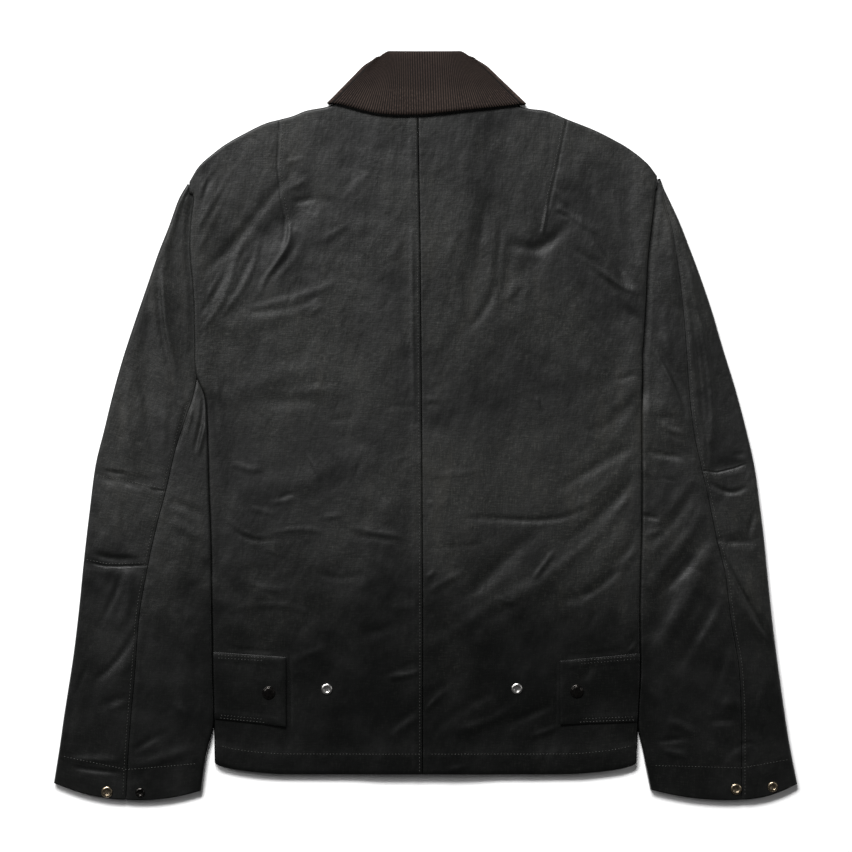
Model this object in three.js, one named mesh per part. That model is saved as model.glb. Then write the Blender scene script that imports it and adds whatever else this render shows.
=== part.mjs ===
import * as THREE from 'three';

// A waxed cotton jacket laid out flat on its front, so that its back is on top.
// Millimetres, +Z up, +Y towards the neck, -X the wearer's left.
// The origin is on the surface, under the middle of the jacket's outline.

// Cloth
const CLOTH = 1.8;
const HEM_CLOTH = 2.8;
const CORDUROY = 2;
const UNDERCOLLAR_CLOTH = 1.2;
const TAB_CLOTH = 1.6;
const GAP = 0.3;

// Heights of the laid layers over the surface
const BACK_TOP = 6.4;
const CENTRE_CROWN = 1.9;
const ARMHOLE_RISE = 2;
const SLEEVE_TOP = 7.4;
const SLEEVE_AT_ARMHOLE = 5;
const PLACKET_LIFT = 2;
const WING_LIFT = CORDUROY + GAP;

// Folds where a layer turns over
const FOLD_RADIUS = 3;
const FOLD_ANGLES = [0, 30, 60, 90];
const EDGE_SWELL = 0.25;
const LIP_GAP = 0.5;
const UNDERARM = 30;
const LIP_RUN = 14;
const TUCK = 7;
const SLEEVE_CLEARANCE = 0.8;
const FRONT_INSET = 2.4;
const HEM_INSET = 3.4;
const SHOULDER_INSET = 4;

// Hems and closing edge
const HEM_DEPTH = 23;
const CUFF_BOW = 3.6;
const PLACKET_HALF = 20;
const PLACKET_RAMP = 12;
const FRONT_NECK = 300;
const NECK_POINT = 76;
const FRONT_NECK_DROP = 42;

// Collar
const WALE_PITCH = 2.8;
const WALE_RISE = 0.5;
const COLLAR_HALF = 104;
const COLLAR_MIDDLE = 1;
const COLLAR_TOP = 388.4;
const ROLL_HALF = 44;
const CORNER_RUN = 10;
const ROLL_CURL = 3;
const COLLAR_FOLD = 5;
const STAND_INSET = 6.5;
const NECKLINE = 336;
const STAND_SEAT = 2.4;
const COLLAR_REST = 0.5;

const mix = THREE.MathUtils.lerp;
const smoothstep = THREE.MathUtils.smoothstep;
const { clamp, degToRad } = THREE.MathUtils;

// Rows of a table as records with the named columns.
function table(names, rows) {
  const columns = names.split(' ');
  return rows.map((row) => Object.fromEntries(columns.map((name, i) => [name, row[i]])));
}

// Smooth value of one column where the key column has the given value.
function lookUp(rows, key, value, at) {
  const last = rows.length - 1;
  if (at <= rows[0][key]) return rows[0][value];
  if (at >= rows[last][key]) return rows[last][value];
  let i = 0;
  while (at > rows[i + 1][key]) i += 1;
  const slope = (j) => {
    const before = rows[Math.max(j - 1, 0)];
    const after = rows[Math.min(j + 1, last)];
    return (after[value] - before[value]) / (after[key] - before[key]);
  };
  const span = rows[i + 1][key] - rows[i][key];
  const t = (at - rows[i][key]) / span;
  const a = 2 * t ** 3 - 3 * t ** 2 + 1;
  const b = t ** 3 - 2 * t ** 2 + t;
  const c = t ** 3 - t ** 2;
  return a * rows[i][value] + b * span * slope(i) + (1 - a) * rows[i + 1][value] + c * span * slope(i + 1);
}

// Outline of the body, as distances out from the middle line

const SIDE_EDGE = {
  left: table('y out', [
    [-350, 219], [-300, 220], [-200, 222], [-118, 223], [-66, 225], [6, 227], [30, 229],
    [54, 238.5], [94, 240], [134, 241], [184, 245], [219, 243], [236, 241], [253, 245],
  ]),
  right: table('y out', [
    [-350, 219], [-300, 221], [-260, 223], [-181, 223], [-100, 225], [68, 225], [97, 227],
    [132, 229], [175, 231], [218, 236], [240, 238], [259, 240],
  ]),
};

const TOP_EDGE = {
  left: table('out y', [
    [0, 336], [40, 338], [65, 342], [78, 346], [90, 337], [101, 331.5], [124, 327], [138, 321.5],
    [151, 318], [166, 314], [183, 306], [208, 292], [226, 278], [236, 268], [245, 253],
  ]),
  right: table('out y', [
    [0, 336], [40, 338], [65, 342], [78, 346], [90, 336], [103, 330], [126, 326.5],
    [146, 318.5], [175, 307], [195, 297], [212, 287], [230, 272], [240, 259],
  ]),
};

const HEM_EDGE = table('out y', [
  [0, -362], [147, -362], [171, -360.5], [199, -357], [214, -353], [219, -350],
]);

const CENTRE_BACK = table('y x', [[-362, -3.2], [-181, -3], [172, -5.5], [321, -7.9], [340, -8]]);

// Sections across the sleeves, from cuff to shoulder: the outer fold, the hind seam and the inner side,
// which lies a gap away from the body's side

const SLEEVE_SECTIONS = {
  left: table('outX outY seamX seamY inY gap', [
    [386, -371, 311, -388, -379, 14],
    [380, -333, 309, -347, -341, 8.5],
    [375, -298, 306, -305, -306, 1],
    [366, -240, 301, -249, -252, 0],
    [360, -190, 297, -196, -200, 0],
    [355, -140, 288, -145, -150, 0],
    [349, -88, 279, -104, -112, 0],
    [343, -42, 269, -66, -76, 0],
    [334, -5, 260, -27, -40, 0],
    [325, 32, 249, 8, -2, 0],
    [315, 68, 241, 32, 20, 0],
    [303, 105, 234, 75, 75, 0],
    [290, 143, 234, 115, 115, 0],
    [278, 178, 236, 155, 155, 0],
    [267, 206, 238, 190, 190, 0],
    [257, 234, 236, 222, 222, 0],
    [247.5, 252.5, 235, 246, 246, 0],
  ]),
  right: table('outX outY seamX seamY inY gap', [
    [386, -372, 328, -388, -378, 15],
    [379, -337, 328, -345, -344, 8],
    [373, -300, 328, -304, -308, 1],
    [366, -250, 325, -250, -250, 0],
    [360, -203, 317, -203, -203, 0],
    [355, -155, 311, -155, -155, 0],
    [351, -115, 302, -117, -118, 0],
    [346, -75, 294, -78, -82, 0],
    [341, -40, 287, -48, -52, 0],
    [333, -5, 279, -10, -12, 0],
    [322, 37, 274, 30, 26, 0],
    [309, 79, 271, 72, 66, 0],
    [297, 120, 268, 112, 105, 0],
    [284, 158, 264, 151, 145, 0],
    [272, 190, 259, 184, 178, 0],
    [262, 215, 254, 211, 206, 0],
    [242.5, 260.5, 241.8, 258, 254, 0],
  ]),
};
const LEFT_SEAM_END = 10.42;

// Largest folds: a line from (x1, y1) to (x2, y2) bowed sideways, its width and its rise

const FOLDS = table('x1 y1 x2 y2 bow width rise', [
  [-70, 300, -240, 152, 16, 54, -2.2],
  [-214, 276, -236, 200, 4, 30, 1.8],
  [-190, 270, -236, 180, 6, 30, 1.4],
  [-178, 200, -236, 88, 6, 34, 1.8],
  [-138, 205, -172, 128, 4, 34, 1.8],
  [-95, 145, -214, 102, 8, 34, 1.2],
  [-90, 60, -214, 22, -10, 36, 1.1],
  [-198, 20, -212, -112, 4, 30, -1.4],
  [-60, -20, -190, -64, 14, 38, 1],
  [70, 245, 44, 84, -6, 38, -1.6],
  [100, 240, 92, 100, 8, 34, 1.1],
  [126, 196, 84, 110, -4, 38, -1.8],
  [138, 252, 228, 118, 8, 36, -1.6],
  [152, 212, 228, 90, 6, 34, 1.8],
  [228, 60, 150, -12, -4, 32, 1.5],
  [228, -8, 156, -84, -4, 32, 1.6],
  [228, -48, 168, -124, -4, 30, -1.4],
  [228, -82, 164, -184, -4, 34, 1.8],
  [150, -130, 40, -240, 6, 40, 1.2],
  [102, -180, 12, -300, 8, 40, 1],
  [-12, 196, -10, 60, 0, 26, 1.1],
  [-272, 210, -252, 26, -10, 26, 2],
  [-290, 120, -276, 10, -6, 28, -1.6],
  [-300, 70, -312, -50, 4, 30, 1.4],
  [-350, -50, -276, -62, 0, 20, -1.5],
  [-358, -142, -292, -145, 0, 20, -1.4],
  [-324, -62, -328, -136, 0, 36, 1.2],
  [-300, -200, -336, -290, 6, 36, 1.4],
  [-356, -266, -372, -340, 0, 28, 1.2],
  [-252, -60, -262, -190, 4, 34, 1.2],
  [-250, -210, -262, -330, 4, 32, 1.1],
  [258, 208, 282, -38, -8, 28, -2],
  [276, 170, 296, -20, -8, 26, 1.9],
  [244, 60, 276, -14, 4, 30, 1.6],
  [232, -20, 278, -34, 0, 26, -1.6],
  [290, -45, 342, -38, 0, 20, -1.5],
  [302, -120, 352, -120, 0, 20, -1.4],
  [276, -60, 228, -160, -6, 40, 2],
  [296, -96, 236, -220, -6, 34, -1.7],
  [306, -128, 366, -236, 6, 32, 2],
  [282, -150, 240, -260, -6, 36, 1.5],
  [346, -240, 350, -340, 0, 32, 1.2],
]);

function foldRise(x, y) {
  let rise = 0;
  for (const fold of FOLDS) {
    const runX = fold.x2 - fold.x1;
    const runY = fold.y2 - fold.y1;
    const length = Math.hypot(runX, runY);
    const along = ((x - fold.x1) * runX + (y - fold.y1) * runY) / length ** 2;
    const bowed = fold.bow * 4 * along * (1 - along);
    const across = ((y - fold.y1) * runX - (x - fold.x1) * runY) / length - bowed;
    const near = 1 - Math.abs(across) / (fold.width / 2);
    if (along > 0 && along < 1 && near > 0) {
      rise += fold.rise * smoothstep(near, 0, 1) * Math.sin(Math.PI * along) ** 0.7;
    }
  }
  return rise;
}

// Side tabs and their snaps, as distances out from the middle line

const TABS = {
  left: { free: 145, topIn: -240, topOut: -235, bottomIn: -312, bottomOut: -304 },
  right: { free: 139.5, topIn: -244, topOut: -236.5, bottomIn: -310, bottomOut: -307 },
};
const TAB_SNAPS = {
  left: { cap: [-162.5, -277], stud: [-102.5, -273.4] },
  right: { cap: [156.8, -275.4], stud: [94.7, -273] },
};
const CUFF_SNAPS = table('name x y radius', [
  ['cuff_left_snap_outer', -330.5, -380, 6],
  ['cuff_left_snap_inner', -296, -380.5, 5],
  ['cuff_right_snap_inner', 322, -377, 6],
  ['cuff_right_snap_outer', 360, -374.5, 5.5],
]);
const FRONT_SNAP_ROWS = [205, 90, -25, -140, -255];

// The cloth lies smooth round the tabs and their snaps.
function foldFreedom(x, y) {
  const across = Math.max(82 - Math.abs(x), Math.abs(x) - 226, 0);
  const along = Math.max(-325 - y, y + 222, 0);
  return smoothstep(Math.hypot(across, along), 4, 30);
}

// Wall geometry

// A closed wall from a grid of outer points. Inner points lie a thickness behind them, the four edges are
// closed, no point lies below a floor, and a relief lifts single outer points.
function wall(grid, facing, thickness, { relief = () => 0, floor = () => 0 } = {}) {
  const rows = grid.length;
  const columns = grid[0].length;
  const outer = [];
  const inner = [];
  const alongRow = new THREE.Vector3();
  const alongColumn = new THREE.Vector3();
  for (let i = 0; i < rows; i += 1) {
    for (let j = 0; j < columns; j += 1) {
      const point = grid[i][j];
      alongRow.subVectors(grid[i][Math.min(j + 1, columns - 1)], grid[i][Math.max(j - 1, 0)]);
      alongColumn.subVectors(grid[Math.min(i + 1, rows - 1)][j], grid[Math.max(i - 1, 0)][j]);
      const normal = alongRow.clone().cross(alongColumn).normalize().multiplyScalar(facing);
      const behind = point.clone().addScaledVector(normal, -thickness(i, j));
      behind.z = Math.max(behind.z, floor(point));
      outer.push(point.clone().addScaledVector(normal, relief(i, j)));
      inner.push(behind);
    }
  }
  const at = (i, j) => i * columns + j;
  const back = rows * columns;
  const faces = [];
  const quad = (a, b, c, d) => {
    if (facing > 0) faces.push(a, b, c, a, c, d);
    else faces.push(a, c, b, a, d, c);
  };
  for (let i = 0; i < rows - 1; i += 1) {
    for (let j = 0; j < columns - 1; j += 1) {
      quad(at(i, j), at(i, j + 1), at(i + 1, j + 1), at(i + 1, j));
      quad(back + at(i, j), back + at(i + 1, j), back + at(i + 1, j + 1), back + at(i, j + 1));
    }
  }
  const ring = [];
  for (let j = 0; j < columns - 1; j += 1) ring.push(at(0, j));
  for (let i = 0; i < rows - 1; i += 1) ring.push(at(i, columns - 1));
  for (let j = columns - 1; j > 0; j -= 1) ring.push(at(rows - 1, j));
  for (let i = rows - 1; i > 0; i -= 1) ring.push(at(i, 0));
  ring.forEach((a, k) => {
    const b = ring[(k + 1) % ring.length];
    quad(a, a + back, b + back, b);
  });
  const geometry = new THREE.BufferGeometry();
  const positions = [...outer, ...inner].flatMap((point) => point.toArray());
  geometry.setAttribute('position', new THREE.Float32BufferAttribute(positions, 3));
  geometry.setIndex(faces);
  geometry.computeVertexNormals();
  return geometry;
}

// Evenly spaced numbers from start to end, both included.
function steps(start, end, count) {
  return Array.from({ length: count + 1 }, (_, i) => mix(start, end, i / count));
}

// Distance from a point to a polygon, zero inside it.
function distanceOutside(polygon, x, y) {
  let inside = false;
  let nearest = Infinity;
  polygon.forEach(([ax, ay], i) => {
    const [bx, by] = polygon[(i + 1) % polygon.length];
    if (ay > y !== by > y && x < ax + ((bx - ax) * (y - ay)) / (by - ay)) inside = !inside;
    const t = clamp(((x - ax) * (bx - ax) + (y - ay) * (by - ay)) / ((bx - ax) ** 2 + (by - ay) ** 2), 0, 1);
    nearest = Math.min(nearest, Math.hypot(x - mix(ax, bx, t), y - mix(ay, by, t)));
  });
  return inside ? 0 : nearest;
}

// Body

const signOf = (side) => (side === 'left' ? -1 : 1);
const edgeOut = (side, y) => lookUp(SIDE_EDGE[side], 'y', 'out', y);
const tipOf = (side) => SIDE_EDGE[side].at(-1);

// Collar wings under the fronts: pairs of points on the roll and on the free edge, from the neck's side
const WING = table('rollX rollY freeX freeY', [
  [40, 352, 99, 300],
  [24, 322, 82, 262],
  [8, 306, 50, 234],
]);
const WING_OUTLINE = [
  [45, 386], [103, 335], [99, 300], [82, 262], [50, 234], [8, 306], [24, 322], [40, 352],
];

// How far the fronts are held up by the collar's wings.
function wingLift(x, y) {
  const away = distanceOutside(WING_OUTLINE, Math.abs(x), y);
  return WING_LIFT * (1 - smoothstep(away, 26, 52));
}

// Height of the back's outer face where it lies over the fronts.
function backHeight(x, y) {
  const crown = CENTRE_CROWN * (1 - smoothstep(Math.abs(x), 36, 90)) * (1 - smoothstep(y, 328, 372));
  const sag = 1.1 * (1 - smoothstep(Math.abs(x), 20, 46)) * smoothstep(y, 350, 386);
  const side = x < 0 ? 'left' : 'right';
  const fromEdge = edgeOut(side, y) - Math.abs(x);
  const lip = ARMHOLE_RISE * (1 - smoothstep(fromEdge, 8, 30)) * smoothstep(y, UNDERARM - 20, UNDERARM + LIP_RUN);
  const fromTop = lookUp(TOP_EDGE[side], 'out', 'y', Math.abs(x)) - y;
  const hemRise = 0.9 * (1 - smoothstep(y, -350, -322));
  const calm = smoothstep(fromTop, 6, 34) * smoothstep(fromEdge, 4, 18) * smoothstep(y, -352, -330);
  const folds = foldRise(x, y) * foldFreedom(x, y) * calm;
  const overFront = wingLift(x, y) + 2 * CLOTH + 2 * GAP;
  const overPlacket = Math.abs(x) < 36 ? BACK_TOP + crown - sag : 0;
  return Math.max(BACK_TOP + crown + lip + hemRise - sag + folds, overFront - sag, overPlacket);
}

// Where the turned edge of the back ends: at the fronts' level, or as a lip over the sleeve.
function turnEnd(side, x, y) {
  const [tipX, tipY] = [tipOf(side).out, tipOf(side).y];
  const upArmhole = smoothstep(y, UNDERARM, UNDERARM + LIP_RUN);
  const nearTip = 1 - smoothstep(Math.hypot(Math.abs(x) - tipX, y - tipY), 14, 30);
  const onArmhole = edgeOut(side, y) - Math.abs(x) < 3 ? upArmhole : 0;
  const lip = Math.max(onArmhole, nearTip);
  return mix(wingLift(x, y), SLEEVE_AT_ARMHOLE + LIP_GAP, lip);
}

const BODY_ROWS = steps(0, 1, 25);
const BODY_SHARES = steps(0, 1, 12);
const EDGE_RUN = 14;
const foldInset = (angle) => FOLD_RADIUS * (1 - Math.sin(degToRad(angle)));
const foldFall = (angle) => 1 - Math.cos(degToRad(angle));

// Stations across the back: shares of the way to the edge zone, then the fold's angles and the turned end.
const BACK_COLUMNS = [
  ...BODY_SHARES.map((share) => ({ share, inset: EDGE_RUN, fall: 0 })),
  ...FOLD_ANGLES.map((angle) => ({ share: 1, inset: foldInset(angle), fall: foldFall(angle) })),
  { share: 1, inset: -EDGE_SWELL, fall: 1, end: true },
];
const BACK_ROWS = [
  { share: 0, inset: 0, hem: 0.6 },
  { share: 0, inset: -2, hem: 0 },
  { share: 0, inset: -HEM_DEPTH, hem: 0 },
  ...BODY_ROWS.slice(2, -1).map((share) => ({ share, inset: 0, fall: 0 })),
  { share: 1, inset: 9, fall: 0 },
  ...FOLD_ANGLES.map((angle) => ({ share: 1, inset: foldInset(angle), fall: foldFall(angle) })),
  { share: 1, inset: -EDGE_SWELL, fall: 1, end: true },
];

function backPanel(side) {
  const sign = signOf(side);
  const tip = tipOf(side);
  const grid = BACK_ROWS.map((row) => BACK_COLUMNS.map((column) => {
    const edgeY = mix(-350, tip.y, row.share);
    const edge = sign * edgeOut(side, edgeY - (row.share ? 0 : row.inset));
    const centre = lookUp(CENTRE_BACK, 'y', 'x', mix(-362, NECKLINE, row.share)) + sign * GAP / 2;
    const intoFold = column.share === 1 ? sign * (EDGE_RUN - column.inset) : 0;
    const topX = mix(-8, sign * (tip.out - EDGE_RUN), column.share) + intoFold;
    const top = lookUp(TOP_EDGE[side], 'out', 'y', Math.abs(topX));
    const x = mix(centre, edge - sign * EDGE_RUN, column.share) + intoFold;
    const hem = lookUp(HEM_EDGE, 'out', 'y', Math.abs(x));
    const y = mix(hem, top, row.share) - row.inset;
    const onNeck = 1 - smoothstep(Math.abs(x), 78, 92);
    const height = backHeight(x, y);
    const end = turnEnd(side, x, y);
    if (column.end || (row.end && !onNeck)) return new THREE.Vector3(x, y, end);
    const depth = Math.min(FOLD_RADIUS, 0.72 * (height - end));
    const neckDepth = mix(depth, 0.5, onNeck);
    const fall = Math.hypot(column.fall * depth, (row.fall ?? 0) * neckDepth) + (row.hem ?? 0);
    const turned = row.end ? mix(end, height - 0.8, onNeck) : height - Math.min(fall, depth + 0.3);
    return new THREE.Vector3(x, y, turned);
  }));
  const nearEdge = (point) => edgeOut(side, point.y) - Math.abs(point.x) < 4 && point.y > UNDERARM;
  const floor = (point) => (nearEdge(point) ? turnEnd(side, point.x, point.y) : 0);
  return wall(grid, sign, (i) => (i < 3 ? HEM_CLOTH : CLOTH), { floor });
}

// Lower face of a front, held up at the centre by the snaps and, on the right, by the left front.
function frontHeight(side, x, y) {
  const wings = wingLift(x, y);
  const nearCentre = 1 - clamp((Math.abs(x) - PLACKET_HALF - 2) / PLACKET_RAMP, 0, 1);
  const held = Math.max(wings, PLACKET_LIFT);
  if (side === 'left') return Math.max(wings, PLACKET_LIFT * nearCentre);
  return mix(wings, held + CLOTH + GAP, x < 0 ? 1 : nearCentre);
}

function frontPanel(side) {
  const sign = signOf(side);
  const tip = tipOf(side);
  const placket = PLACKET_HALF + 2;
  const closing = [-PLACKET_HALF, 0, placket, placket + PLACKET_RAMP];
  const shares = steps(0, 1, 7).slice(1);
  const columns = [...closing.map((x) => ({ x })), ...shares.map((share) => ({ share }))];
  const rows = [0, ...BODY_ROWS.slice(2)];
  const start = sign * closing.at(-1);
  const grid = rows.map((v) => columns.map((column) => {
    const sideY = mix(-350, tip.y, v);
    const inset = mix(HEM_INSET, FRONT_INSET, smoothstep(sideY, -330, -300));
    const edge = sign * (edgeOut(side, sideY) - inset);
    const x = column.share ? mix(start, edge, column.share) : sign * column.x;
    const onShoulder = Math.abs(x) > NECK_POINT && (v === 1 || column.share);
    const topX = column.share ? mix(start, sign * (tip.out - FRONT_INSET), column.share) : sign * column.x;
    const neck = FRONT_NECK + FRONT_NECK_DROP * (Math.abs(topX) / NECK_POINT) ** 2;
    const shoulder = lookUp(TOP_EDGE[side], 'out', 'y', Math.abs(topX)) - SHOULDER_INSET;
    const top = Math.abs(topX) > NECK_POINT && onShoulder ? shoulder : Math.min(neck, shoulder);
    const y = mix(lookUp(HEM_EDGE, 'out', 'y', Math.abs(x)), top, v);
    return new THREE.Vector3(x, y, frontHeight(side, x, y));
  }));
  return wall(grid, -sign, () => CLOTH);
}

// Sleeves

// A section of a sleeve between two rows of its table.
function sleeveSection(side, row) {
  const sections = SLEEVE_SECTIONS[side].map((section, index) => ({ index, ...section }));
  const value = (name) => lookUp(sections, 'index', name, row);
  const sign = signOf(side);
  const inY = value('inY');
  const armhole = smoothstep(inY, UNDERARM + LIP_RUN + 8, UNDERARM + LIP_RUN + 30);
  const side0 = edgeOut(side, inY) + value('gap') + SLEEVE_CLEARANCE;
  return {
    outer: new THREE.Vector2(sign * value('outX'), value('outY')),
    seam: new THREE.Vector2(sign * value('seamX'), value('seamY')),
    inner: new THREE.Vector2(sign * side0, inY),
    tucked: new THREE.Vector2(sign * (edgeOut(side, inY) - TUCK), inY),
    armhole,
    cloth: row < 1.2 ? HEM_CLOTH : CLOTH,
    bow: CUFF_BOW * Math.max(1 - row, 0),
  };
}

function sleeveHeight(side, point) {
  const fromArmhole = Math.abs(point.x) - edgeOut(side, point.y);
  const up = smoothstep(point.y, UNDERARM - 24, UNDERARM + 8);
  const low = (1 - smoothstep(fromArmhole, 5, 30)) * up;
  const calm = (1 - low) * smoothstep(point.y, -372, -345);
  return mix(SLEEVE_TOP, SLEEVE_AT_ARMHOLE, low) + Math.max(foldRise(point.x, point.y) * calm, -2.6);
}

// Points along a line at a height that varies. The cuff's edge bows outwards between its ends.
function layer(from, to, bow, shares, height) {
  return shares.map((share) => {
    const point = from.clone().lerp(to, share);
    point.y -= 4 * bow * share * (1 - share);
    return new THREE.Vector3(point.x, point.y, height(point));
  });
}

// The top sleeve runs from the hind seam over the outer fold and back under to the inner side.
function sleeveTop(side) {
  const sign = signOf(side);
  const rows = steps(0, 16, 25).map((row) => sleeveSection(side, row));
  const grid = rows.map((section) => {
    const { outer, seam, inner, cloth, bow } = section;
    const inwards = seam.clone().sub(outer).normalize();
    const width = seam.distanceTo(outer);
    const rise = sleeveHeight(side, outer);
    const radius = Math.min(rise / 2, width * 0.3);
    const start = seam.clone().addScaledVector(inwards, -GAP / 2);
    const turn = outer.clone().addScaledVector(inwards, radius);
    const over = layer(start, turn, bow, [0, 0.06, 0.22, 0.4, 0.6, 0.8, 1], (point) => sleeveHeight(side, point));
    over[0].z -= 0.5;
    over.at(-1).z = rise;
    const fold = [45, 0, -45].map((angle) => {
      const reach = radius * (1 - Math.cos(degToRad(angle)));
      const point = outer.clone().addScaledVector(inwards, reach);
      return new THREE.Vector3(point.x, point.y, (rise / 2) * (1 + Math.sin(degToRad(angle))));
    });
    const open = smoothstep(inner.y, UNDERARM + 42, UNDERARM + 72);
    const atTip = 2 * smoothstep(inner.y, 200, 235);
    const atCorner = side === 'left' ? 7 * (1 - smoothstep(Math.abs(inner.y - 34), 12, 38)) : 0;
    const away = mix(cloth + GAP + 0.4, atTip - SLEEVE_CLEARANCE - FRONT_INSET + 2 * GAP, open) + atCorner;
    const end = inner.clone().add(new THREE.Vector2(sign * away, 0));
    const under = layer(turn, end, 3 * bow, [0, 0.2, 0.5, 0.8, 1], () => 0);
    return [...over, ...fold, ...under];
  });
  return wall(grid, sign, (i) => rows[i].cloth);
}

// The under sleeve runs from the hind seam to the inner side, where it turns down or tucks under the back.
function sleeveUnder(side) {
  const sign = signOf(side);
  const last = side === 'left' ? LEFT_SEAM_END : 16;
  const rows = steps(0, last, Math.round(last * 1.55)).map((row) => sleeveSection(side, row));
  const grid = rows.map((section) => {
    const { seam, inner, tucked, armhole, bow } = section;
    const outwards = seam.clone().sub(inner).normalize();
    const start = seam.clone().addScaledVector(outwards, -GAP / 2);
    const turn = inner.clone().addScaledVector(outwards, FOLD_RADIUS);
    const over = layer(start, turn, bow, [0, 0.1, 0.32, 0.55, 0.78, 1], (point) => sleeveHeight(side, point));
    const rise = over.at(-1).z;
    over[0].z -= 0.5;
    const tuckShare = [0.35, 0.6, 0.85, 1];
    const turned = [30, 60, 90, 90].map((angle, k) => {
      const reach = FOLD_RADIUS * (1 - Math.sin(degToRad(angle)));
      const side0 = inner.clone().addScaledVector(outwards, reach - (k === 3 ? EDGE_SWELL : 0));
      const fall = k === 3 ? rise : FOLD_RADIUS * (1 - Math.cos(degToRad(angle)));
      const laid = turn.clone().lerp(tucked, tuckShare[k]);
      const point = side0.lerp(laid, smoothstep(armhole, 0.4, 1));
      const z = mix(rise - fall, Math.min(rise, SLEEVE_AT_ARMHOLE), smoothstep(armhole, 0, 0.5));
      return new THREE.Vector3(point.x, point.y, z);
    });
    return [...over, ...turned];
  });
  return wall(grid, -sign, (i) => rows[i].cloth);
}

// Collar

const FALL_EDGE = table('x y', [
  [-103, 335], [-88, 333], [-62, 326], [-41, 322.5], [-7, 322], [15, 324], [42, 327], [94, 333], [105, 335],
]);
const SLANT = new THREE.Vector2(COLLAR_HALF - ROLL_HALF, 335 - COLLAR_TOP).normalize();
const slantNormal = (sign) => new THREE.Vector2(sign * -SLANT.y, SLANT.x);
const slantAlong = (sign) => new THREE.Vector2(sign * SLANT.x, SLANT.y);

const collarHeight = (x, y) => backHeight(x, y) + COLLAR_REST + UNDERCOLLAR_CLOTH + GAP + CORDUROY;

// A line across the collar's back part, from its free edge to its roll. Share runs from -1 to 1.
function collarLine(share, inset) {
  const reach = COLLAR_HALF - inset / -SLANT.y;
  const freeX = COLLAR_MIDDLE + reach * share;
  const free = new THREE.Vector2(freeX, lookUp(FALL_EDGE, 'x', 'y', freeX));
  const half = ROLL_HALF - inset * 0.6;
  const rollX = COLLAR_MIDDLE - 2 + half * Math.tanh((reach * share) / half) / Math.tanh(reach / half);
  const cornered = CORNER_RUN * smoothstep(Math.abs(share), 0.6, 1);
  const roll = new THREE.Vector2(rollX, COLLAR_TOP).addScaledVector(slantAlong(Math.sign(share)), cornered);
  return { free, roll };
}

function collarFall() {
  const wales = Math.round((2 * COLLAR_HALF) / WALE_PITCH);
  const shares = steps(-1, 1, 2 * wales);
  const rises = [0, 0.45, 0.93];
  const lines = [];
  const pushLine = (free, roll, place) => lines.push([
    ...rises.map((rise) => place(free.clone().lerp(roll, rise), 0)),
    place(roll, 0.55),
    place(roll, 1),
  ]);
  const side = (sign) => {
    const { free, roll } = collarLine(sign, COLLAR_FOLD);
    const normal = slantNormal(sign);
    const under = [];
    const point = (at, curl, z) => new THREE.Vector3(at.x, at.y, z + curl * 0.3);
    for (const angle of [45, 0, -45, -90]) {
      const out = COLLAR_FOLD * Math.cos(degToRad(angle));
      under.push({ free, roll, place: (at, curl) => {
        const z = (collarHeight(at.x, at.y) / 2) * (1 + Math.sin(degToRad(angle)));
        const run = at.distanceTo(free) / roll.distanceTo(free);
        const swell = 1 - 0.55 * smoothstep(run, 0.75, 1) - 0.35 * curl;
        const atFree = (1 - run) ** 4;
        const moved = at.clone().addScaledVector(normal, out * swell).addScaledVector(slantAlong(sign), out * atFree);
        return point(moved, angle > -90 ? 0 : curl, z);
      } });
    }
    for (const wing of WING) {
      under.push({
        free: new THREE.Vector2(sign * wing.freeX, wing.freeY),
        roll: new THREE.Vector2(sign * wing.rollX, wing.rollY),
        place: (at, curl) => point(at, curl, 0),
      });
    }
    return under;
  };
  const addSide = (sign, list) => list.forEach(({ free, roll, place }) => {
    const lift = (at, curl) => {
      const out = place(at, curl);
      const shift = roll.clone().sub(free).normalize().multiplyScalar(-0.8 * (1 - curl));
      return curl ? out.add(new THREE.Vector3(shift.x, shift.y, 0)) : out;
    };
    pushLine(free, roll, lift);
  });
  addSide(-1, side(-1).reverse());
  shares.forEach((share) => {
    const { free, roll } = collarLine(share, COLLAR_FOLD);
    const curled = 1 - smoothstep(Math.abs(share), 0.75, 0.97);
    pushLine(free, roll, (at, curl) => {
      const z = collarHeight(at.x, at.y);
      const inward = curl ? mix(0.8 * (1 - curl), (curl === 1 ? 0 : 0.9), curled) : 0;
      return new THREE.Vector3(at.x, at.y - inward, z - curled * (curl === 1 ? ROLL_CURL + 1.4 : curl * 1.6));
    });
  });
  addSide(1, side(1));
  const firstWale = side(-1).length;
  const relief = (i) => {
    const wale = i - firstWale;
    return wale >= 0 && wale < shares.length && wale % 2 ? WALE_RISE : 0;
  };
  return wall(lines, -1, () => CORDUROY, { relief });
}

function undercollar() {
  const lines = steps(-1, 1, 26).map((share) => {
    const { free, roll } = collarLine(share, COLLAR_FOLD + 2.2);
    return [-0.025, 0.3, 0.6, 0.88].map((rise) => {
      const at = free.clone().lerp(roll, rise);
      return new THREE.Vector3(at.x, at.y, backHeight(at.x, at.y) + COLLAR_REST + UNDERCOLLAR_CLOTH);
    });
  });
  return wall(lines, -1, () => UNDERCOLLAR_CLOTH);
}

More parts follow.
